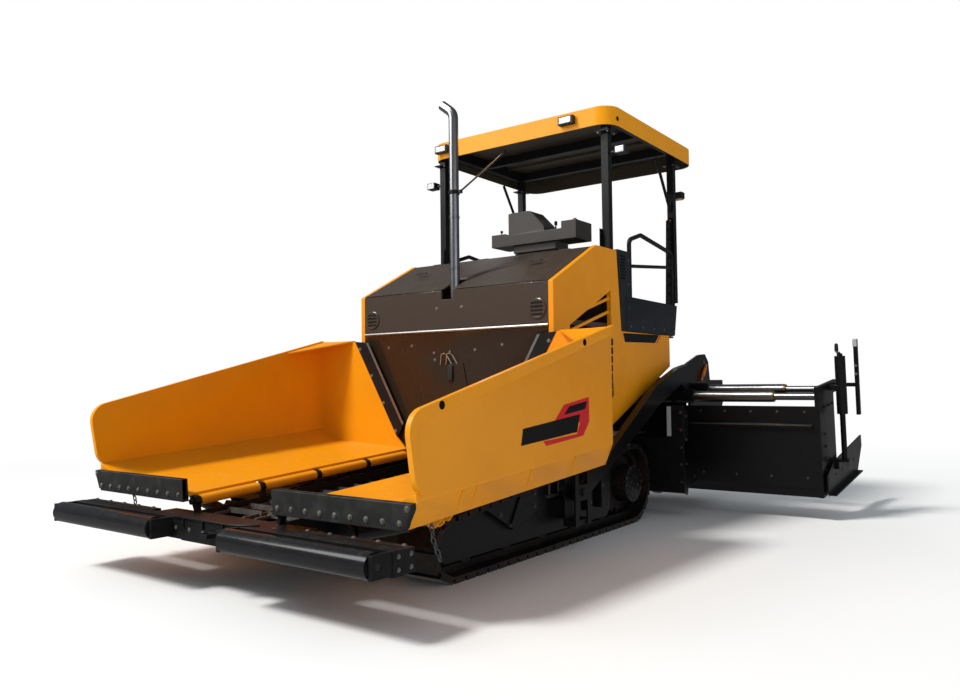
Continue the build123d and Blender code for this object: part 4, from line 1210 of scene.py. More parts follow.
EDGE_GROUPS = {
    0.002: ("chassis_frame", "end_gate", "hopper_back_wall"),
    0.003: ("auger_frame", "canopy_frame", "hood_front", "hopper_wing", "platform", "push_beam")
    + ("screed_extension", "screed_frame", "track_frame", "wing_flashing"),
    0.004: ("hood_lid", "rear_body", "side_panel", "tow_arms"),
    0.006: ("canopy_roof", "work_lamps"),
    0.012: ("console",),
}
EDGE_WIDTHS = {stem: width for width, stems in EDGE_GROUPS.items() for stem in stems}


@dataclass
class Dressing:
    """Gives every solid of the machine its finish, and rounds the edges of those whose edges show."""

    frame: dict
    weld: float = 0.00005
    flat: float = 0.5
    corner_radius: float = 0.12
    corner_margin: float = 0.05
    skin_reach: tuple = (1.35, 1.5)

    def build(self) -> None:
        """Dresses the solids."""
        bodies = self.frame["record"]["behaviour"]["bodies"]
        home = {node: body for body, nodes in bodies.items() for node in nodes}
        for entry in self.frame["record"]["subparts"]:
            node, slot = entry["node"], entry["material_slot"]
            stem = node.removesuffix("_left").removesuffix("_right")
            solid = self.frame["nodes"][node]
            if stem in EDGE_WIDTHS:
                item = self._shell(solid, node, SLOT_FINISH[slot], home[node], EDGE_WIDTHS[stem])
                self._accents(item, stem)
                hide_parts(node)
            else:
                solid.data.materials.clear()
                solid.data.materials.append(SHOP.get(SLOT_FINISH[slot]))
                self._accents(solid, stem)

    @staticmethod
    def _accents(item: bpy.types.Object, stem: str) -> None:
        """Gives chosen faces of a dressed solid their other finish.

        Args:
            item: The solid or its stand-in.
            stem: The solid's name without its side.
        """
        for accent in (entry for entry in ACCENTS if entry.stem == stem):
            item.data.materials.append(SHOP.get(accent.finish))
            for polygon in item.data.polygons:
                if accent.holds(item.matrix_world @ polygon.center, polygon.normal):
                    polygon.material_index = len(item.data.materials) - 1

    def _shell(self, solid: bpy.types.Object, node: str, finish: Finish, body: str, width: float) -> bpy.types.Object:
        """Makes a copy of a solid with rounded edges.

        Args:
            solid: The solid.
            node: Its name.
            finish: The copy's finish.
            body: The body that it rides on.
            width: Width of its rounded edges.

        Returns:
            The copy.
        """
        shell = bmesh.new()
        shell.from_mesh(solid.data)
        bmesh.ops.remove_doubles(shell, verts=shell.verts, dist=self.weld)
        angle = math.radians(self.flat)
        bmesh.ops.dissolve_limit(
            shell, angle_limit=angle, verts=shell.verts, edges=shell.edges, use_dissolve_boundaries=False
        )
        data = bpy.data.meshes.new(f"{node}_dressed")
        shell.to_mesh(data)
        shell.free()
        if node.startswith("hopper_wing"):
            data = self._corner(data, node.endswith("right"))
        item = settle(bpy.data.objects.new(f"{node}_dressed", data), finish, body, width, SMALL_SMOOTH)
        item.modifiers["edges"].use_clamp_overlap = True
        return item

    def _corner(self, data: bpy.types.Mesh, flip: bool) -> bpy.types.Mesh:
        """Cuts the front upper corner of a wing's side round.

        Args:
            data: The wing's mesh.
            flip: Whether it is the right wing.

        Returns:
            The cut mesh.
        """
        corner, rear, foot = (Vector(spot) for spot in WING_CORNER)
        back, down = (rear - corner).normalized(), (foot - corner).normalized()
        angle, margin = back.angle(down), self.corner_margin
        reach = self.corner_radius / math.tan(angle / 2)
        centre = corner + (back + down).normalized() * (self.corner_radius / math.sin(angle / 2))
        first, last = corner + back * reach - centre, corner + down * reach - centre
        turn, steps = first.angle_signed(last), 10
        arc = [centre + Matrix.Rotation(-turn * step / steps, 2) @ first for step in range(steps + 1)]
        outer = corner - (back + down).normalized() * margin
        outline = [corner + back * reach - down * margin, *arc, corner + down * reach - back * margin, outer]
        low, high = self.skin_reach
        cutter = Shape().prism((-high if flip else low, 0, 0), Plane.SIDE, outline, high - low)
        holder = bpy.data.objects.new("corner_holder", data)
        tool = bpy.data.objects.new("corner_tool", cutter.data("corner_tool"))
        for item in (holder, tool):
            bpy.context.scene.collection.objects.link(item)
        cut = holder.modifiers.new("cut", "BOOLEAN")
        cut.operation, cut.object, cut.solver = "DIFFERENCE", tool, "EXACT"
        graph = bpy.context.evaluated_depsgraph_get()
        result = bpy.data.meshes.new_from_object(holder.evaluated_get(graph))
        for item in (holder, tool):
            bpy.data.objects.remove(item)
        return result


@dataclass
class Cushion:
    """A stitched pad that swells between its seams, from a box in its own frame."""

    box: tuple[Point, Point]
    space: Matrix = field(default_factory=lambda: Matrix.Identity(4))
    cuts: tuple = (4, 3, 3)
    shrink: float = 0.16
    seam: float = 0.62
    seam_width: float = 0.05

    def stand_in(self, name: str, node: str) -> None:
        """Makes the pad in place of a solid of the seat.

        Args:
            name: The piece's name.
            node: The solid that it replaces.
        """
        low, high = self.box
        shape = Shape().box(low, high)
        for axis, count in enumerate(self.cuts):
            for number in range(1, count):
                spot, normal = [0.0, 0.0, 0.0], [0.0, 0.0, 0.0]
                spot[axis] = low[axis] + (high[axis] - low[axis]) * number / count
                normal[axis] = 1.0
                everything = shape.mesh.verts[:] + shape.mesh.edges[:] + shape.mesh.faces[:]
                bmesh.ops.bisect_plane(shape.mesh, geom=everything, plane_co=spot, plane_no=normal)
        for _ in range(2):
            bmesh.ops.subdivide_edges(shape.mesh, edges=shape.mesh.edges[:], cuts=1, use_grid_fill=True)
        self._swell(shape)
        item = shape.carried(self.space).piece(name, Finish.LEATHER, "machine", 0.0, 80.0)
        smooth = item.modifiers.new("smooth", "SUBSURF")
        smooth.levels = 1
        smooth.render_levels = 1
        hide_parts(node)

    def _swell(self, shape: Shape) -> None:
        """Draws the pad's edges in and presses its two seams.

        Args:
            shape: The pad, cut into a fine net.
        """
        low, high = self.box
        middle = [(low[axis] + high[axis]) / 2 for axis in range(3)]
        half = [(high[axis] - low[axis]) / 2 for axis in range(3)]
        thin = half.index(min(half))
        for corner in shape.mesh.verts:
            share = [(corner.co[axis] - middle[axis]) / half[axis] for axis in range(3)]
            for axis in range(3):
                others = [abs(share[other]) for other in range(3) if other != axis]
                drawn = self.shrink * (others[0] ** 6 + others[1] ** 6) * min(half) / half[axis]
                corner.co[axis] = middle[axis] + half[axis] * share[axis] * (1.0 - drawn)
            if abs(share[thin]) > 0.6:
                groove = math.exp(-(((abs(share[0]) - self.seam) / self.seam_width) ** 2)) * min(half) * self.shrink
                corner.co[thin] -= math.copysign(groove, share[thin])


@dataclass
class Wings:
    """Details of the two hopper wings."""

    flap_start: float = 0.015
    flap_end: float = 1.005
    flap_count: int = 5
    flap_gap: float = 0.006
    stud_y: float = -0.0403
    outer_x: float = 1.4
    skin_x: float = 1.42
    band_y: float = -0.5475
    lug_x: float = 1.2

    def build(self) -> None:
        """Makes both sides."""
        for bench in both("wing", True, hinged()):
            self._flap(bench)
        for bench in both("wing", True):
            self._labels(bench)
            self._fittings(bench)
            self._lugs(bench)

    def _flap(self, bench: Bench) -> None:
        """The rubber curtain: a holding strip, its flaps and its bolts.

        Args:
            bench: Where they go, in the wing's own frame.
        """
        strip = [(0.015, 0.004), (0.948, 0.008), (0.968, 0.038), (0.015, 0.038)]
        bench.plates("flap_strip", Finish.BLACK, 0.0015, ((0, -0.0003, 0), Plane.FRONT, strip, 0.012))
        step = (self.flap_end - self.flap_start) / self.flap_count
        flaps = []
        for number in range(self.flap_count):
            low, high = self.flap_start + number * step, self.flap_start + (number + 1) * step - self.flap_gap
            bottom = high - 0.03 if number == self.flap_count - 1 else high
            outline = [(low, 0.02), (bottom, 0.02), (high, 0.105), (high, 0.14), (low, 0.14)]
            flaps.append(((0, -0.012, 0), Plane.FRONT, outline, 0.028))
        item = bench.plates("wing_flaps", Finish.RUBBER, 0.003, *flaps)
        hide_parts(bench.name("wing_flashing"))
        y = self.stud_y
        studs = row((0.06, y, 0.045), (0.93, y, 0.045), 9, FORWARD) + at(FORWARD, (0.982, y, 0.118))
        bench.spread("flap_bolts", Finish.BOLT, Small(Head.BOLT, 0.011, 0.007), studs)

    def _labels(self, bench: Bench) -> None:
        """The blank label on the outer skin, with its red edge.

        Args:
            bench: Where it goes.
        """
        spot = (self.outer_x, 0, 0)
        label = [(-1.634, 0.801), (-1.008, 0.842), (-0.967, 0.951), (-1.612, 0.894)]
        top = [(-1.16, 0.955), (-0.9, 0.98), (-0.875, 1.03), (-1.1, 1.003)]
        red = [(-1.3, 0.9), (-0.967, 0.9), (-1.01, 0.83), (-1.4, 0.81), (-1.37, 0.782)]
        red += [(-0.93, 0.815), (-0.85, 0.9), (-0.85, 1.055), (-1.16, 1.015)]
        bench.plates("wing_label", Finish.STRIPE_BLACK, 0.0, (spot, Plane.SIDE, label, 0.0016))
        bench.plates("wing_label_top", Finish.STRIPE_BLACK, 0.0, (spot, Plane.SIDE, top, 0.0014))
        bench.plates("wing_label_red", Finish.STRIPE_RED, 0.0, (spot, Plane.SIDE, red, 0.0008))

    def _fittings(self, bench: Bench) -> None:
        """The lifting holes, and the dark band at the rear edge with its bolts.

        Args:
            bench: Where they go.
        """
        # The lifting holes are thin near-black discs of painted shade, not real openings.
        holes = [(self.skin_x, y, z) for y, z in ((-2.349, 1.05), (-0.93, 1.398))]
        hole = [(0, 0), (0, 0.022), (0.0018, 0.022), (0.0018, 0)]
        bench.turned("wing_hole", Finish.PAINTED_SHADE, LEFTWARD, 24, hole, *holes)
        band = [(0.985, 1.505), (0.83, 1.492), (0.44, 0.83), (0.516, 0.718)]
        bench.plates("wing_band", Finish.BLACK, 0.001, ((0, self.band_y + 0.006, 0), Plane.FRONT, band, 0.006))
        trim = [(0.853, 1.49), (0.83, 1.49), (0.444, 0.835), (0.458, 0.816)]
        bench.plates("wing_band_trim", Finish.TRIM, 0.0, ((0, self.band_y, 0), Plane.FRONT, trim, 0.003))
        seats = row((0.925, self.band_y, 1.44), (0.53, self.band_y, 0.77), 4, FORWARD)
        bench.spread("wing_band_bolts", Finish.BOLT, Small(Head.BOLT, 0.01, 0.007), seats)

    def _lugs(self, bench: Bench) -> None:
        """The two lugs under the wing with their pin, and the travel chain.

        Args:
            bench: Where they go.
        """
        lug = [(-0.045, 0.0), (0.045, 0.0), (0.045, 0.05), (0.02, 0.08), (-0.02, 0.08), (-0.045, 0.05)]
        lugs = [((self.lug_x, y, 0.512), Plane.HANGING, lug, 0.012) for y in (-2.136, -2.06)]
        bench.plates("wing_lugs", Finish.YELLOW, 0.002, *lugs)
        pin = Shape().tube([(self.lug_x, -2.16, 0.455), (self.lug_x, -2.035, 0.455)], 0.011, 14)
        bench.keep(pin, "wing_lug_pin", Finish.BOLT)
        sign = -1.0 if bench.flip else 1.0
        path = [(sign * 1.33, -2.33, 0.478), (sign * 1.33, -2.315, 0.39), (sign * 1.35, -2.29, 0.3)]
        Chain().piece(path, bench.name("travel_chain"), Finish.GUIDE, bench.body)


@dataclass
class Nose:
    """Details of the push rollers, their beam and the plate between them."""

    first: float = 0.325
    last: float = 1.376
    beam_half: float = 1.41
    beam_top: float = 0.41
    deck_top: float = 0.396
    y: float = -2.78
    z: float = 0.356

    def build(self) -> None:
        """Makes both sides and the middle."""
        for bench in both("push_roller", True):
            self._rings(bench)
        for bench in both():
            self._box(bench)
        self._deck(Bench())

    def _rings(self, bench: Bench) -> None:
        """The rings on both ends of a roller.

        Args:
            bench: Where they go.
        """
        profile = [(0.0, 0.0), (0.0, 0.047), (0.004, 0.047), (0.004, 0.034)]
        profile += [(0.0065, 0.034), (0.0065, 0.016), (0.009, 0.014), (0.009, 0.0)]
        rings = Shape()
        for x, way in ((self.last, 1.0), (self.first, -1.0)):
            rings.lathe((x, self.y, self.z), (way, 0, 0), profile, 28)
        bench.keep(rings, "roller_end_rings", Finish.BLACK)

    def _box(self, bench: Bench) -> None:
        """The box behind the beam, and the bolts on the beam's end.

        Args:
            bench: Where they go.
        """
        end = self.beam_half
        bench.boxes("beam_box", Finish.BLACK, 0.004, ((0.642, -2.622, 0.292), (end, -2.542, self.beam_top - 0.0015)))
        bolts = [spot for y in (-2.655, -2.57) for spot in row((end, y, 0.32), (end, y, 0.38), 2)]
        bench.spread("beam_end_bolts", Finish.BOLT, Small(Head.BOLT, 0.008, 0.006), bolts)

    def _deck(self, bench: Bench) -> None:
        """The nose plate, the bolts of the deck and the beam, and the beam's grooves.

        Args:
            bench: Where they go.
        """
        deck, top = self.deck_top, self.beam_top
        bolts = row((-0.46, -2.58, deck), (0.46, -2.58, deck), 6, UPWARD)
        bolts += row((-0.26, -2.69, 0.35), (0.26, -2.69, 0.35), 5, FORWARD)
        for sign in (-1.0, 1.0):
            bolts += row((sign * 0.7, -2.56, top), (sign * 1.36, -2.56, top), 5, UPWARD)
        bench.spread("deck_bolts", Finish.BOLT, Small(Head.BOLT, 0.009, 0.006), bolts)
        outline = [(-0.4, -2.62), (-0.27, -2.7), (0.27, -2.7), (0.4, -2.62)]
        nose = Shape().prism((0, 0, top), Plane.TOP, outline, 0.008)
        for x in (-0.18, 0.0, 0.18):
            nose.box((x - 0.005, -2.7, 0.36), (x + 0.005, -2.69, top))
        bench.keep(nose, "nose_plate", Finish.BLACK, 0.002)
        # The beam's grooves are thin near-black slots of painted shade.
        grooves = [(x, y, top - 0.0005) for x in (-1.03, 1.03) for y in (-2.6, -2.645)]
        bench.spread("beam_grooves", Finish.PAINTED_SHADE, Small(Head.SLOT, 0.36, 0.002, 0.003), at(UPWARD, *grooves))


@dataclass
class Front:
    """Details of the hopper's back wall, the hood and the exhaust."""

    wall_y: float = -0.512
    grille: Point = (0.811, -0.512, 1.678)
    stack: tuple = (-0.016, -0.408)
    stack_radius: float = 0.0391

    def build(self) -> None:
        """Makes everything on the front of the body."""
        self._wall(Bench())
        for bench in both():
            self._grille(bench)
        self._exhaust(Bench())

    def _wall(self, bench: Bench) -> None:
        """The wall's bolts, the bucket bail and its lever, and the hood's bolts and handles.

        Args:
            bench: Where they go.
        """
        wall = [(-0.63, 1.442), (-0.379, 1.45), (-0.151, 1.387), (0.009, 1.39)]
        wall += [(-0.142, 1.332), (0.25, 1.4), (0.5, 1.43)]
        spots = at(FORWARD, *((x, self.wall_y, z) for x, z in wall))
        bench.spread("back_wall_bolts", Finish.BOLT, Small(Head.BOLT, 0.008, 0.006), spots)
        bail = Shape()
        for shift in (0.0, 0.055):
            low, high = [(-0.085, -0.514, 1.29), (-0.045, -0.55, 1.38)], [(-0.005, -0.55, 1.38), (0.03, -0.514, 1.29)]
            bail.tube([(x + shift, y, z) for x, y, z in low + high], 0.0045, 10, 0.02)
        bench.keep(bail, "bucket_bail", Finish.CHROME)
        bench.boxes("bucket_lever", Finish.PLASTIC, 0.004, ((0.0, -0.536, 1.17), (0.045, -0.511, 1.285)))
        latch = row((-0.119, self.wall_y, 1.734), (0.128, self.wall_y, 1.733), 2, FORWARD)
        bench.spread("latch_bolts", Finish.BOLT, Small(Head.BOLT, 0.009, 0.006), latch)
        outline = [(0.0, 0.0), (0.11, 0.0), (0.11, 0.03), (0.0, 0.03)]
        handles = [((x, -0.165, 2.0765), Plane.LID, outline, 0.006) for x in (0.52, -0.63)]
        Bench("hood_lid").plates("lid_handles", Finish.PLASTIC, 0.002, *handles)

    def _grille(self, bench: Bench) -> None:
        """A round vent beside the hood.

        Args:
            bench: Where it goes.
        """
        x, y, z = self.grille
        profile = [(0.0, 0.0), (0.0, 0.075), (0.006, 0.075), (0.01, 0.068), (0.008, 0.058), (0.008, 0.0)]
        bench.turned("vent", Finish.BROWN, FORWARD, 36, profile, self.grille)
        # The vent's slots are thin near-black boxes of painted shade.
        slots = row((x, y - 0.0075, z - 0.042), (x, y - 0.0075, z + 0.042), 4, FORWARD)
        bench.spread("vent_slots", Finish.PAINTED_SHADE, Small(Head.SLOT, 0.05, 0.0025, 0.007), slots)

    def _exhaust(self, bench: Bench) -> None:
        """The clamp on the stack, its stay to the canopy and two rings.

        Args:
            bench: Where they go.
        """
        inner = self.stack_radius
        hoop = [(0, inner), (0, 0.046), (0.03, 0.046), (0.03, inner)]
        clamp = Shape().lathe((*self.stack, 2.64), UPWARD, hoop, 24)
        clamp.box((0.02, -0.42, 2.642), (0.06, -0.396, 2.668))
        bench.keep(clamp, "stack_clamp", Finish.BLACK, 0.001)
        stay = Shape().tube([(0.045, -0.408, 2.655), (-0.134, 0.488, 3.21)], 0.008, 12)
        bench.keep(stay, "stack_stay", Finish.STACK)
        band = [(0, inner), (0, 0.043), (0.012, 0.043), (0.012, inner)]
        bench.turned("stack_rings", Finish.STACK, UPWARD, 24, band, (*self.stack, 2.05), (*self.stack, 2.45))


@dataclass
class Cab:
    """Details of the platform, console, seat and canopy."""

    side_x: float = 0.945
    cover_x: float = 0.942
    plate_x: float = 0.862
    post_ys: tuple = (0.515, 1.842)
    roof_z: float = 3.19
    desk_z: float = 2.562

    def build(self) -> None:
        """Makes everything from the platform up."""
        for bench in both():
            self._sill(bench)
            self._vents(bench)
            self._posts(bench)
            self._plate(bench)
            self._lamps(bench)
        self._desk(Bench())
        self._controls(Bench())
        self._roof(Bench())
        self._seat()

    def _sill(self, bench: Bench) -> None:
        """The blank strip along the platform's foot, its red end and the column's cover.

        Args:
            bench: Where they go.
        """
        spot = (self.side_x, 0, 0)
        strip = [(0.606, 1.468), (1.193, 1.478), (1.281, 1.552), (0.573, 1.54)]
        bench.plates("sill_strip", Finish.STRIPE_BLACK, 0.0, (spot, Plane.SIDE, strip, 0.0012))
        red = [(1.215, 1.478), (1.235, 1.478), (1.325, 1.553), (1.303, 1.552)]
        bench.plates("sill_red", Finish.STRIPE_RED, 0.0, (spot, Plane.SIDE, red, 0.0012))
        cover = [(0.556, 1.556), (0.73, 1.556), (0.73, 2.221), (0.511, 2.221)]
        bench.plates("column_cover", Finish.TUB, 0.004, ((self.cover_x - 0.054, 0, 0), Plane.SIDE, cover, 0.054))

    def _vents(self, bench: Bench) -> None:
        """Slots and bolts of the column's cover and the side panel.

        Args:
            bench: Where they go.
        """
        side, cover = self.side_x, self.cover_x
        # The column's vents and the side gills are thin near-black boxes of painted shade.
        vents = [spot for y in (0.578, 0.622) for spot in row((cover, y, 1.99), (cover, y, 2.172), 8)]
        bench.spread("column_vents", Finish.PAINTED_SHADE, Small(Head.SLOT, 0.006, 0.003, 0.018), vents)
        gills = row((side, 0.376, 1.46), (side, 0.358, 1.046), 7)
        bench.spread("side_gills", Finish.PAINTED_SHADE, Small(Head.SLOT, 0.027, 0.002, 0.014), gills)
        bolts = row((side, 0.72, 1.6), (side, 1.62, 1.6), 5) + row((cover, 0.7, 1.75), (cover, 0.7, 2.15), 3)
        bench.spread("platform_bolts", Finish.BOLT, Small(Head.BOLT, 0.008, 0.005), bolts)

    def _posts(self, bench: Bench) -> None:
        """Foot brackets, top plates with their bolts, and the rear brace.

        Args:
            bench: Where they go.
        """
        foot = [(-0.12, 0), (0.02, 0), (0.02, 0.02), (-0.04, 0.16), (-0.12, 0.16)]
        feet = [((0.8205, y + 0.05, 2.235), Plane.SIDE, foot, -0.008) for y in self.post_ys]
        bench.plates("post_feet", Finish.BLACK, 0.002, *feet)
        low, high = self.roof_z, self.roof_z + 0.01
        tops = [((0.79, y - 0.075, low), (0.915, y + 0.075, high)) for y in self.post_ys]
        bench.boxes("post_tops", Finish.BLACK, 0.002, *tops)
        bolts = [(x, y + shift, low) for y in self.post_ys for shift in (-0.058, 0.058) for x in (0.81, 0.895)]
        bench.spread("post_bolts", Finish.BOLT, Small(Head.BOLT, 0.009, 0.008), at(DOWNWARD, *bolts))
        brace = Shape().tube([(0.852, 1.81, 2.75), (0.852, 1.5, 3.2)], 0.014, 12)
        bench.keep(brace, "post_brace", Finish.BLACK)

    def _plate(self, bench: Bench) -> None:
        """Holes and brass bolts of the perforated plate at the rear post.

        Args:
            bench: Where they go.
        """
        x = self.plate_x
        holes = row((x, 1.72, 1.96), (x, 1.72, 2.64), 9) + row((x, 1.8, 2.0), (x, 1.8, 2.68), 9)
        # The plate's holes are thin near-black discs of painted shade.
        bench.spread("plate_holes", Finish.PAINTED_SHADE, Small(Head.DISC, 0.017, 0.003), holes)
        bolts = row((x, 1.76, 1.95), (x, 1.76, 2.65), 3)
        bench.spread("plate_bolts", Finish.BRASS, Small(Head.BOLT, 0.012, 0.012), bolts)

    def _lamps(self, bench: Bench) -> None:
        """Lenses of the lamps on the posts, and the rear one's foot.

        Args:
            bench: Where they go.
        """
        front, rear = ((0.953, 0.471, 3.0), (1.027, 0.476, 3.05)), ((0.815, 2.061, 2.916), (0.889, 2.064, 2.966))
        bench.boxes("post_lenses", Finish.CLEAR, 0.002, front, rear)
        bench.boxes("rear_lamp_foot", Finish.AMBER, 0.002, ((0.815, 1.985, 2.9), (0.889, 2.055, 2.911)))
        # The canopy's hole is a thin near-black disc of painted shade.
        hole = [(0, 0), (0, 0.02), (0.0004, 0.02), (0.0004, 0)]
        bench.turned("canopy_hole", Finish.PAINTED_SHADE, LEFTWARD, 20, hole, (0.9405, 0.556, 3.301))

    def _desk(self, bench: Bench) -> None:
        """Gauges, keys and the screen's lid on the control desk.

        Args:
            bench: Where they go.
        """
        dials = row((-0.2, 0.9605, 2.58), (0.04, 0.9605, 2.58), 4, REARWARD)
        bench.spread("desk_dials", Finish.CLEAR, Small(Head.DISC, 0.022, 0.004), dials)
        keys = row((-0.2, 0.965, 2.501), (0.24, 0.965, 2.501), 8, UPWARD)
        bench.spread("desk_keys", Finish.GREY, Small(Head.SLOT, 0.011, 0.006, 0.016), keys)
        lid = [(0.735, 2.7005), (0.95, 2.7005), (0.95, 2.706), (0.735, 2.706)]
        bench.plates("screen_lid", Finish.CONSOLE, 0.002, ((-0.26, 0, 0), Plane.SIDE, lid, 0.2))

    def _controls(self, bench: Bench) -> None:
        """Stop button, levers and joystick.

        Args:
            bench: Where they go.
        """
        top = self.desk_z
        button = [(0, 0.0), (0, 0.014), (0.016, 0.014), (0.016, 0.024), (0.026, 0.02), (0.026, 0.0)]
        bench.turned("stop_button", Finish.RED, UPWARD, 20, button, (0.375, 0.82, top))
        lever = [(0, 0.0), (0, 0.006), (0.03, 0.005), (0.032, 0.012), (0.05, 0.013), (0.056, 0.0)]
        feet = [(-0.4, 0.8, 2.518), (-0.36, 0.88, 2.518), (0.33, 0.9, top)]
        bench.turned("desk_levers", Finish.PLASTIC, UPWARD, 16, lever, *feet)
        stick = [(0, 0.0), (0, 0.024), (0.012, 0.02), (0.02, 0.007)]
        stick += [(0.075, 0.006), (0.08, 0.014), (0.11, 0.015), (0.12, 0.0)]
        bench.turned("desk_joystick", Finish.PLASTIC, UPWARD, 16, stick, (0.12, 0.92, 2.5))

    def _roof(self, bench: Bench) -> None:
        """Front lenses and underside ribs of the canopy.

        Args:
            bench: Where they go.
        """
        lenses = [((x - 0.055, 0.3715, 3.3), (x + 0.055, 0.381, 3.35)) for x in (0.545, -0.79)]
        bench.boxes("front_lenses", Finish.CLEAR, 0.002, *lenses)
        ribs = [((-0.9, y - 0.012, 3.366), (0.9, y + 0.012, 3.388)) for y in (0.8, 1.18, 1.55, 1.9)]
        bench.boxes("canopy_ribs", Finish.LINER, 0.002, *ribs)

    @staticmethod
    def _seat() -> None:
        """The padded seat and its leaning back."""
        Cushion(((-0.24, 1.09, 1.9603), (0.24, 1.43, 2.08))).stand_in("seat_pad", "seat_cushions")
        lean = Matrix.Translation(Vector((0.0, 1.44, 2.04))) @ Matrix.Rotation(math.radians(-8.5), 4, "X")
        Cushion(((-0.24, 0.0, -0.004), (0.24, 0.071, 0.402)), lean).stand_in("seat_back_pad", "seat_backs")


@dataclass
class Undercarriage:
    """Details of the track frames, the final drives and the shields behind them."""

    frame_x: float = 0.922
    plate_x: float = 0.967
    post_x: float = 0.985
    drive: Point = (0.975, 0.642, 0.321)
    shield_y: float = 1.06
    shield_x: float = 1.245

    def build(self) -> None:
        """Makes both sides."""
        for bench in both():
            self._gusset(bench)
            self._bolts(bench)
            self._drive(bench)
            self._shield(bench)

    def _gusset(self, bench: Bench) -> None:
        """The ribbed gusset, the posts and the rods outside the track frame.

        Args:
            bench: Where they go.
        """
        outline = [(-1.398, 0.391), (-1.181, 0.569), (-0.782, 0.535), (-0.788, 0.296), (-1.065, 0.207)]
        bench.plates("track_gusset", Finish.BLACK, 0.002, ((self.frame_x, 0, 0), Plane.SIDE, outline, 0.045))
        spot, ribs = (self.plate_x, 0, 0), Shape()
        ribs.prism(spot, Plane.SIDE, [(-1.12, 0.25), (-1.1, 0.25), (-0.93, 0.52), (-0.95, 0.52)], 0.014)
        ribs.prism(spot, Plane.SIDE, [(-1.3, 0.42), (-1.18, 0.53), (-1.17, 0.52), (-1.29, 0.41)], 0.01)
        for low, high in ((-0.11, -0.07), (0.08, 0.12)):
            ribs.box((0.92, low, 0.2), (self.post_x, high, 0.53))
        bench.keep(ribs, "track_ribs", Finish.BLACK, 0.002)
        rods = Shape()
        for y in (-0.59, -0.465):
            rods.tube([(0.933, y, 0.35), (0.933, y, 0.545)], 0.011, 14)
        rods.box((self.frame_x, -0.64, 0.355), (0.95, -0.42, 0.375))
        bench.keep(rods, "track_rods", Finish.WORN)

    def _bolts(self, bench: Bench) -> None:
        """The bolts of the gusset and the posts.

        Args:
            bench: Where they go.
        """
        plate, post = self.plate_x, self.post_x
        bolts = row((plate, -1.33, 0.4), (plate, -1.12, 0.25), 3) + row((plate, -0.83, 0.5), (plate, -0.83, 0.33), 3)
        bolts += row((post, -0.09, 0.26), (post, -0.09, 0.47), 3) + row((post, 0.1, 0.26), (post, 0.1, 0.47), 3)
        bench.spread("track_frame_bolts", Finish.WORN, Small(Head.BOLT, 0.011, 0.008), bolts)

    def _drive(self, bench: Bench) -> None:
        """The final drive's cover and its rings of bolts.

        Args:
            bench: Where they go.
        """
        x, y, z = self.drive
        cover = [(0.0, 0.0), (0.0, 0.15), (0.004, 0.15), (0.006, 0.12), (0.012, 0.115), (0.014, 0.0)]
        bench.turned("drive_cover", Finish.BLACK, LEFTWARD, 32, cover, self.drive)
        bolts = circle((x + 0.004, y, z), LEFTWARD, 0.135, 16) + circle((x + 0.012, y, z), LEFTWARD, 0.06, 6)
        bench.spread("drive_bolts", Finish.WORN, Small(Head.BOLT, 0.01, 0.007), bolts)

    def _shield(self, bench: Bench) -> None:
        """The angled shield behind the track, its strip and its bolts.

        Args:
            bench: Where they go.
        """
        x, y = self.shield_x, self.shield_y
        across, along = ((1.09, y, 0.655), (x, y + 0.012, 0.94)), ((x - 0.012, y + 0.012, 0.655), (x, 1.16, 0.9))
        bench.boxes("side_shield", Finish.BLACK, 0.002, across, along)
        bench.boxes("shield_strip", Finish.GREY, 0.001, ((1.1, y - 0.0075, 0.68), (1.135, y, 0.93)))
        studs = row((1.22, y, 0.3), (1.22, y, 0.88), 5, FORWARD) + row((x, 1.11, 0.25), (x, 1.11, 0.85), 4)
        bench.spread("shield_bolts", Finish.WORN, Small(Head.BOLT, 0.01, 0.007), studs)


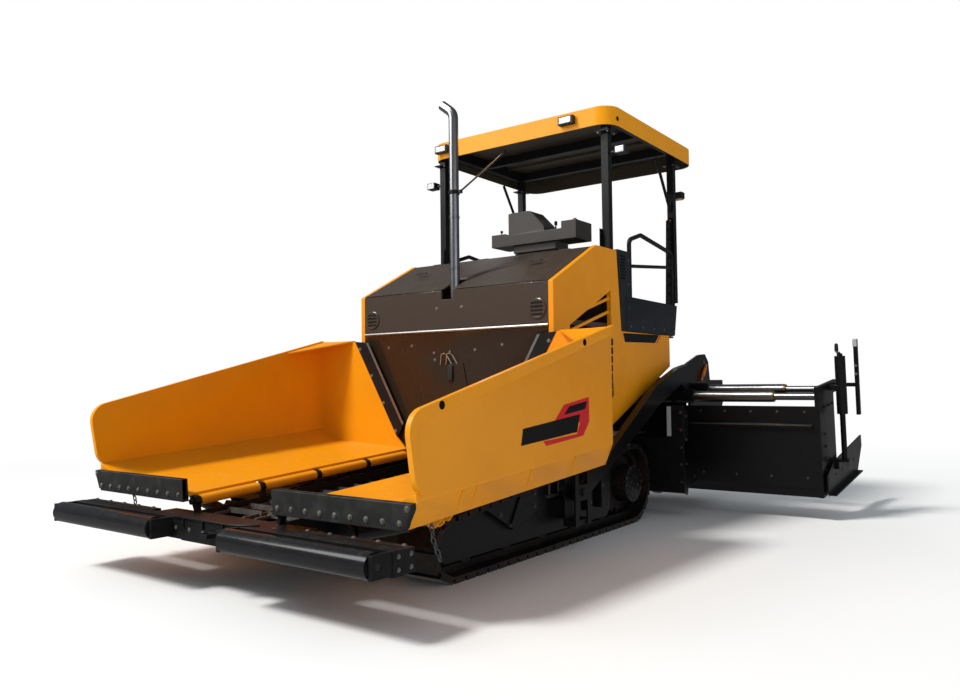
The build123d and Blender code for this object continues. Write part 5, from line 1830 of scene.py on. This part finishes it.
@dataclass
class Screed:
    """Details of the screed, its extensions and their end gates, in its own tilted frame."""

    crown_x: float = 1.02
    front_y: float = 1.875
    end_x: float = 2.236
    gate_x: float = 2.264
    jack: tuple = (2.33, 2.23)
    collar_x: float = 1.8555

    def build(self) -> None:
        """Makes both sides."""
        space = raised()
        for bench in both("screed", False, space):
            self._crown(bench)
        for bench in both("extension", True, space):
            self._bolts(bench)
            self._jack(bench)
            self._guides(bench)
        for bench in both("end_gate", True, space):
            bolts = row((self.gate_x, 2.0, 0.13), (self.gate_x, 2.9, 0.13), 5)
            bench.spread("gate_bolts", Finish.BOLT, Small(Head.BOLT, 0.011, 0.008), bolts)

    def _crown(self, bench: Bench) -> None:
        """The side plate's bolts and link, the inner wall and the walkway's slots.

        Args:
            bench: Where they go.
        """
        plate = ((2.3, 0.62), (2.3, 0.78), (2.55, 0.9), (2.62, 1.06), (2.85, 0.7), (3.0, 0.55))
        spots = at(LEFTWARD, *((self.crown_x, y, z) for y, z in plate))
        bench.spread("crown_bolts", Finish.BOLT, Small(Head.BOLT, 0.013, 0.009), spots)
        bench.boxes("screed_wall", Finish.SCREED, 0.002, ((0.0, 2.19, 0.408), (0.995, 2.202, 0.735)))
        link = [(0.0, 0.0), (0.0, 0.008), (0.05, 0.008), (0.052, 0.016)]
        link += [(0.16, 0.016), (0.162, 0.008), (0.21, 0.008), (0.21, 0.0)]
        bench.turned("crown_link", Finish.ORANGE, (0, 0.75, 0.66), 14, link, (self.crown_x + 0.014, 2.5, 0.9))
        # The walkway's slots are thin near-black boxes of painted shade.
        slots = row((0.06, 3.04, 0.41), (1.14, 3.04, 0.41), 19, UPWARD)
        bench.spread("walkway_slots", Finish.PAINTED_SHADE, Small(Head.SLOT, 0.012, 0.003, 0.045), slots)

    def _bolts(self, bench: Bench) -> None:
        """Bolts, pegs and the worn edge of an extension's plates.

        Args:
            bench: Where they go.
        """
        y, x = self.front_y, self.end_x
        bolts = row((1.25, y, 0.7), (2.12, y, 0.7), 5, FORWARD) + row((1.25, y, 0.16), (2.12, y, 0.16), 4, FORWARD)
        bolts += row((x, 2.0, 0.85), (x, 2.3, 0.85), 3)
        bench.spread("extension_bolts", Finish.WORN, Small(Head.BOLT, 0.0075, 0.006), bolts)
        pegs = row((x, 2.05, 0.72), (x, 2.3, 0.72), 3) + row((x, 2.02, 0.5), (x, 2.02, 0.2), 4)
        bench.spread("end_plate_pegs", Finish.WORN, Small(Head.DISC, 0.011, 0.012), pegs)
        bench.boxes("rail_edge", Finish.WORN, 0.0, ((1.075, 1.8505, 0.588), (2.175, 1.853, 0.6)))

    def _jack(self, bench: Bench) -> None:
        """The jack's crank and grip, and the cap and knobs of the post behind it.

        Args:
            bench: Where they go.
        """
        x, y = self.jack
        hand = y - 0.1
        crank = Shape().tube([(x, y, 1.135), (x, y, 1.15), (x, hand, 1.155), (x, hand, 1.2)], 0.008, 12, 0.02)
        bench.keep(crank, "height_crank", Finish.BOLT)
        grip = [(0, 0.0), (0, 0.013), (0.01, 0.016), (0.06, 0.014), (0.07, 0.0)]
        bench.turned("crank_grip", Finish.PLASTIC, UPWARD, 16, grip, (x, hand, 1.165))
        bench.boxes("sensor_cap", Finish.GREY, 0.003, ((2.386, 2.454, 1.18), (2.4195, 2.506, 1.243)))
        knob = [(0, 0.0), (0, 0.006), (0.012, 0.006), (0.012, 0.013), (0.024, 0.011), (0.024, 0.0)]
        bench.turned("post_knobs", Finish.BOLT, FORWARD, 14, knob, (2.405, 2.4585, 0.95), (2.405, 2.4585, 1.02))

    def _guides(self, bench: Bench) -> None:
        """The brass collars of the two guide tubes.

        Args:
            bench: Where they go.
        """
        collar = [(0.0, 0.0), (0.0, 0.0465), (0.014, 0.0445), (0.014, 0.0)]
        centres = [(self.collar_x, y, z) for y, z in ((1.945, 0.817), (2.298, 0.836))]
        bench.turned("guide_collars", Finish.BRASS, LEFTWARD, 24, collar, *centres)


def main() -> None:
    """Builds the scene in order."""
    logging.basicConfig(level=logging.WARNING)
    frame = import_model()
    Studio().build()
    Dressing(frame).build()
    for assembly in (Wings(), Nose(), Front(), Cab(), Undercarriage(), Screed()):
        assembly.build()


if __name__ == "__main__":
    main()
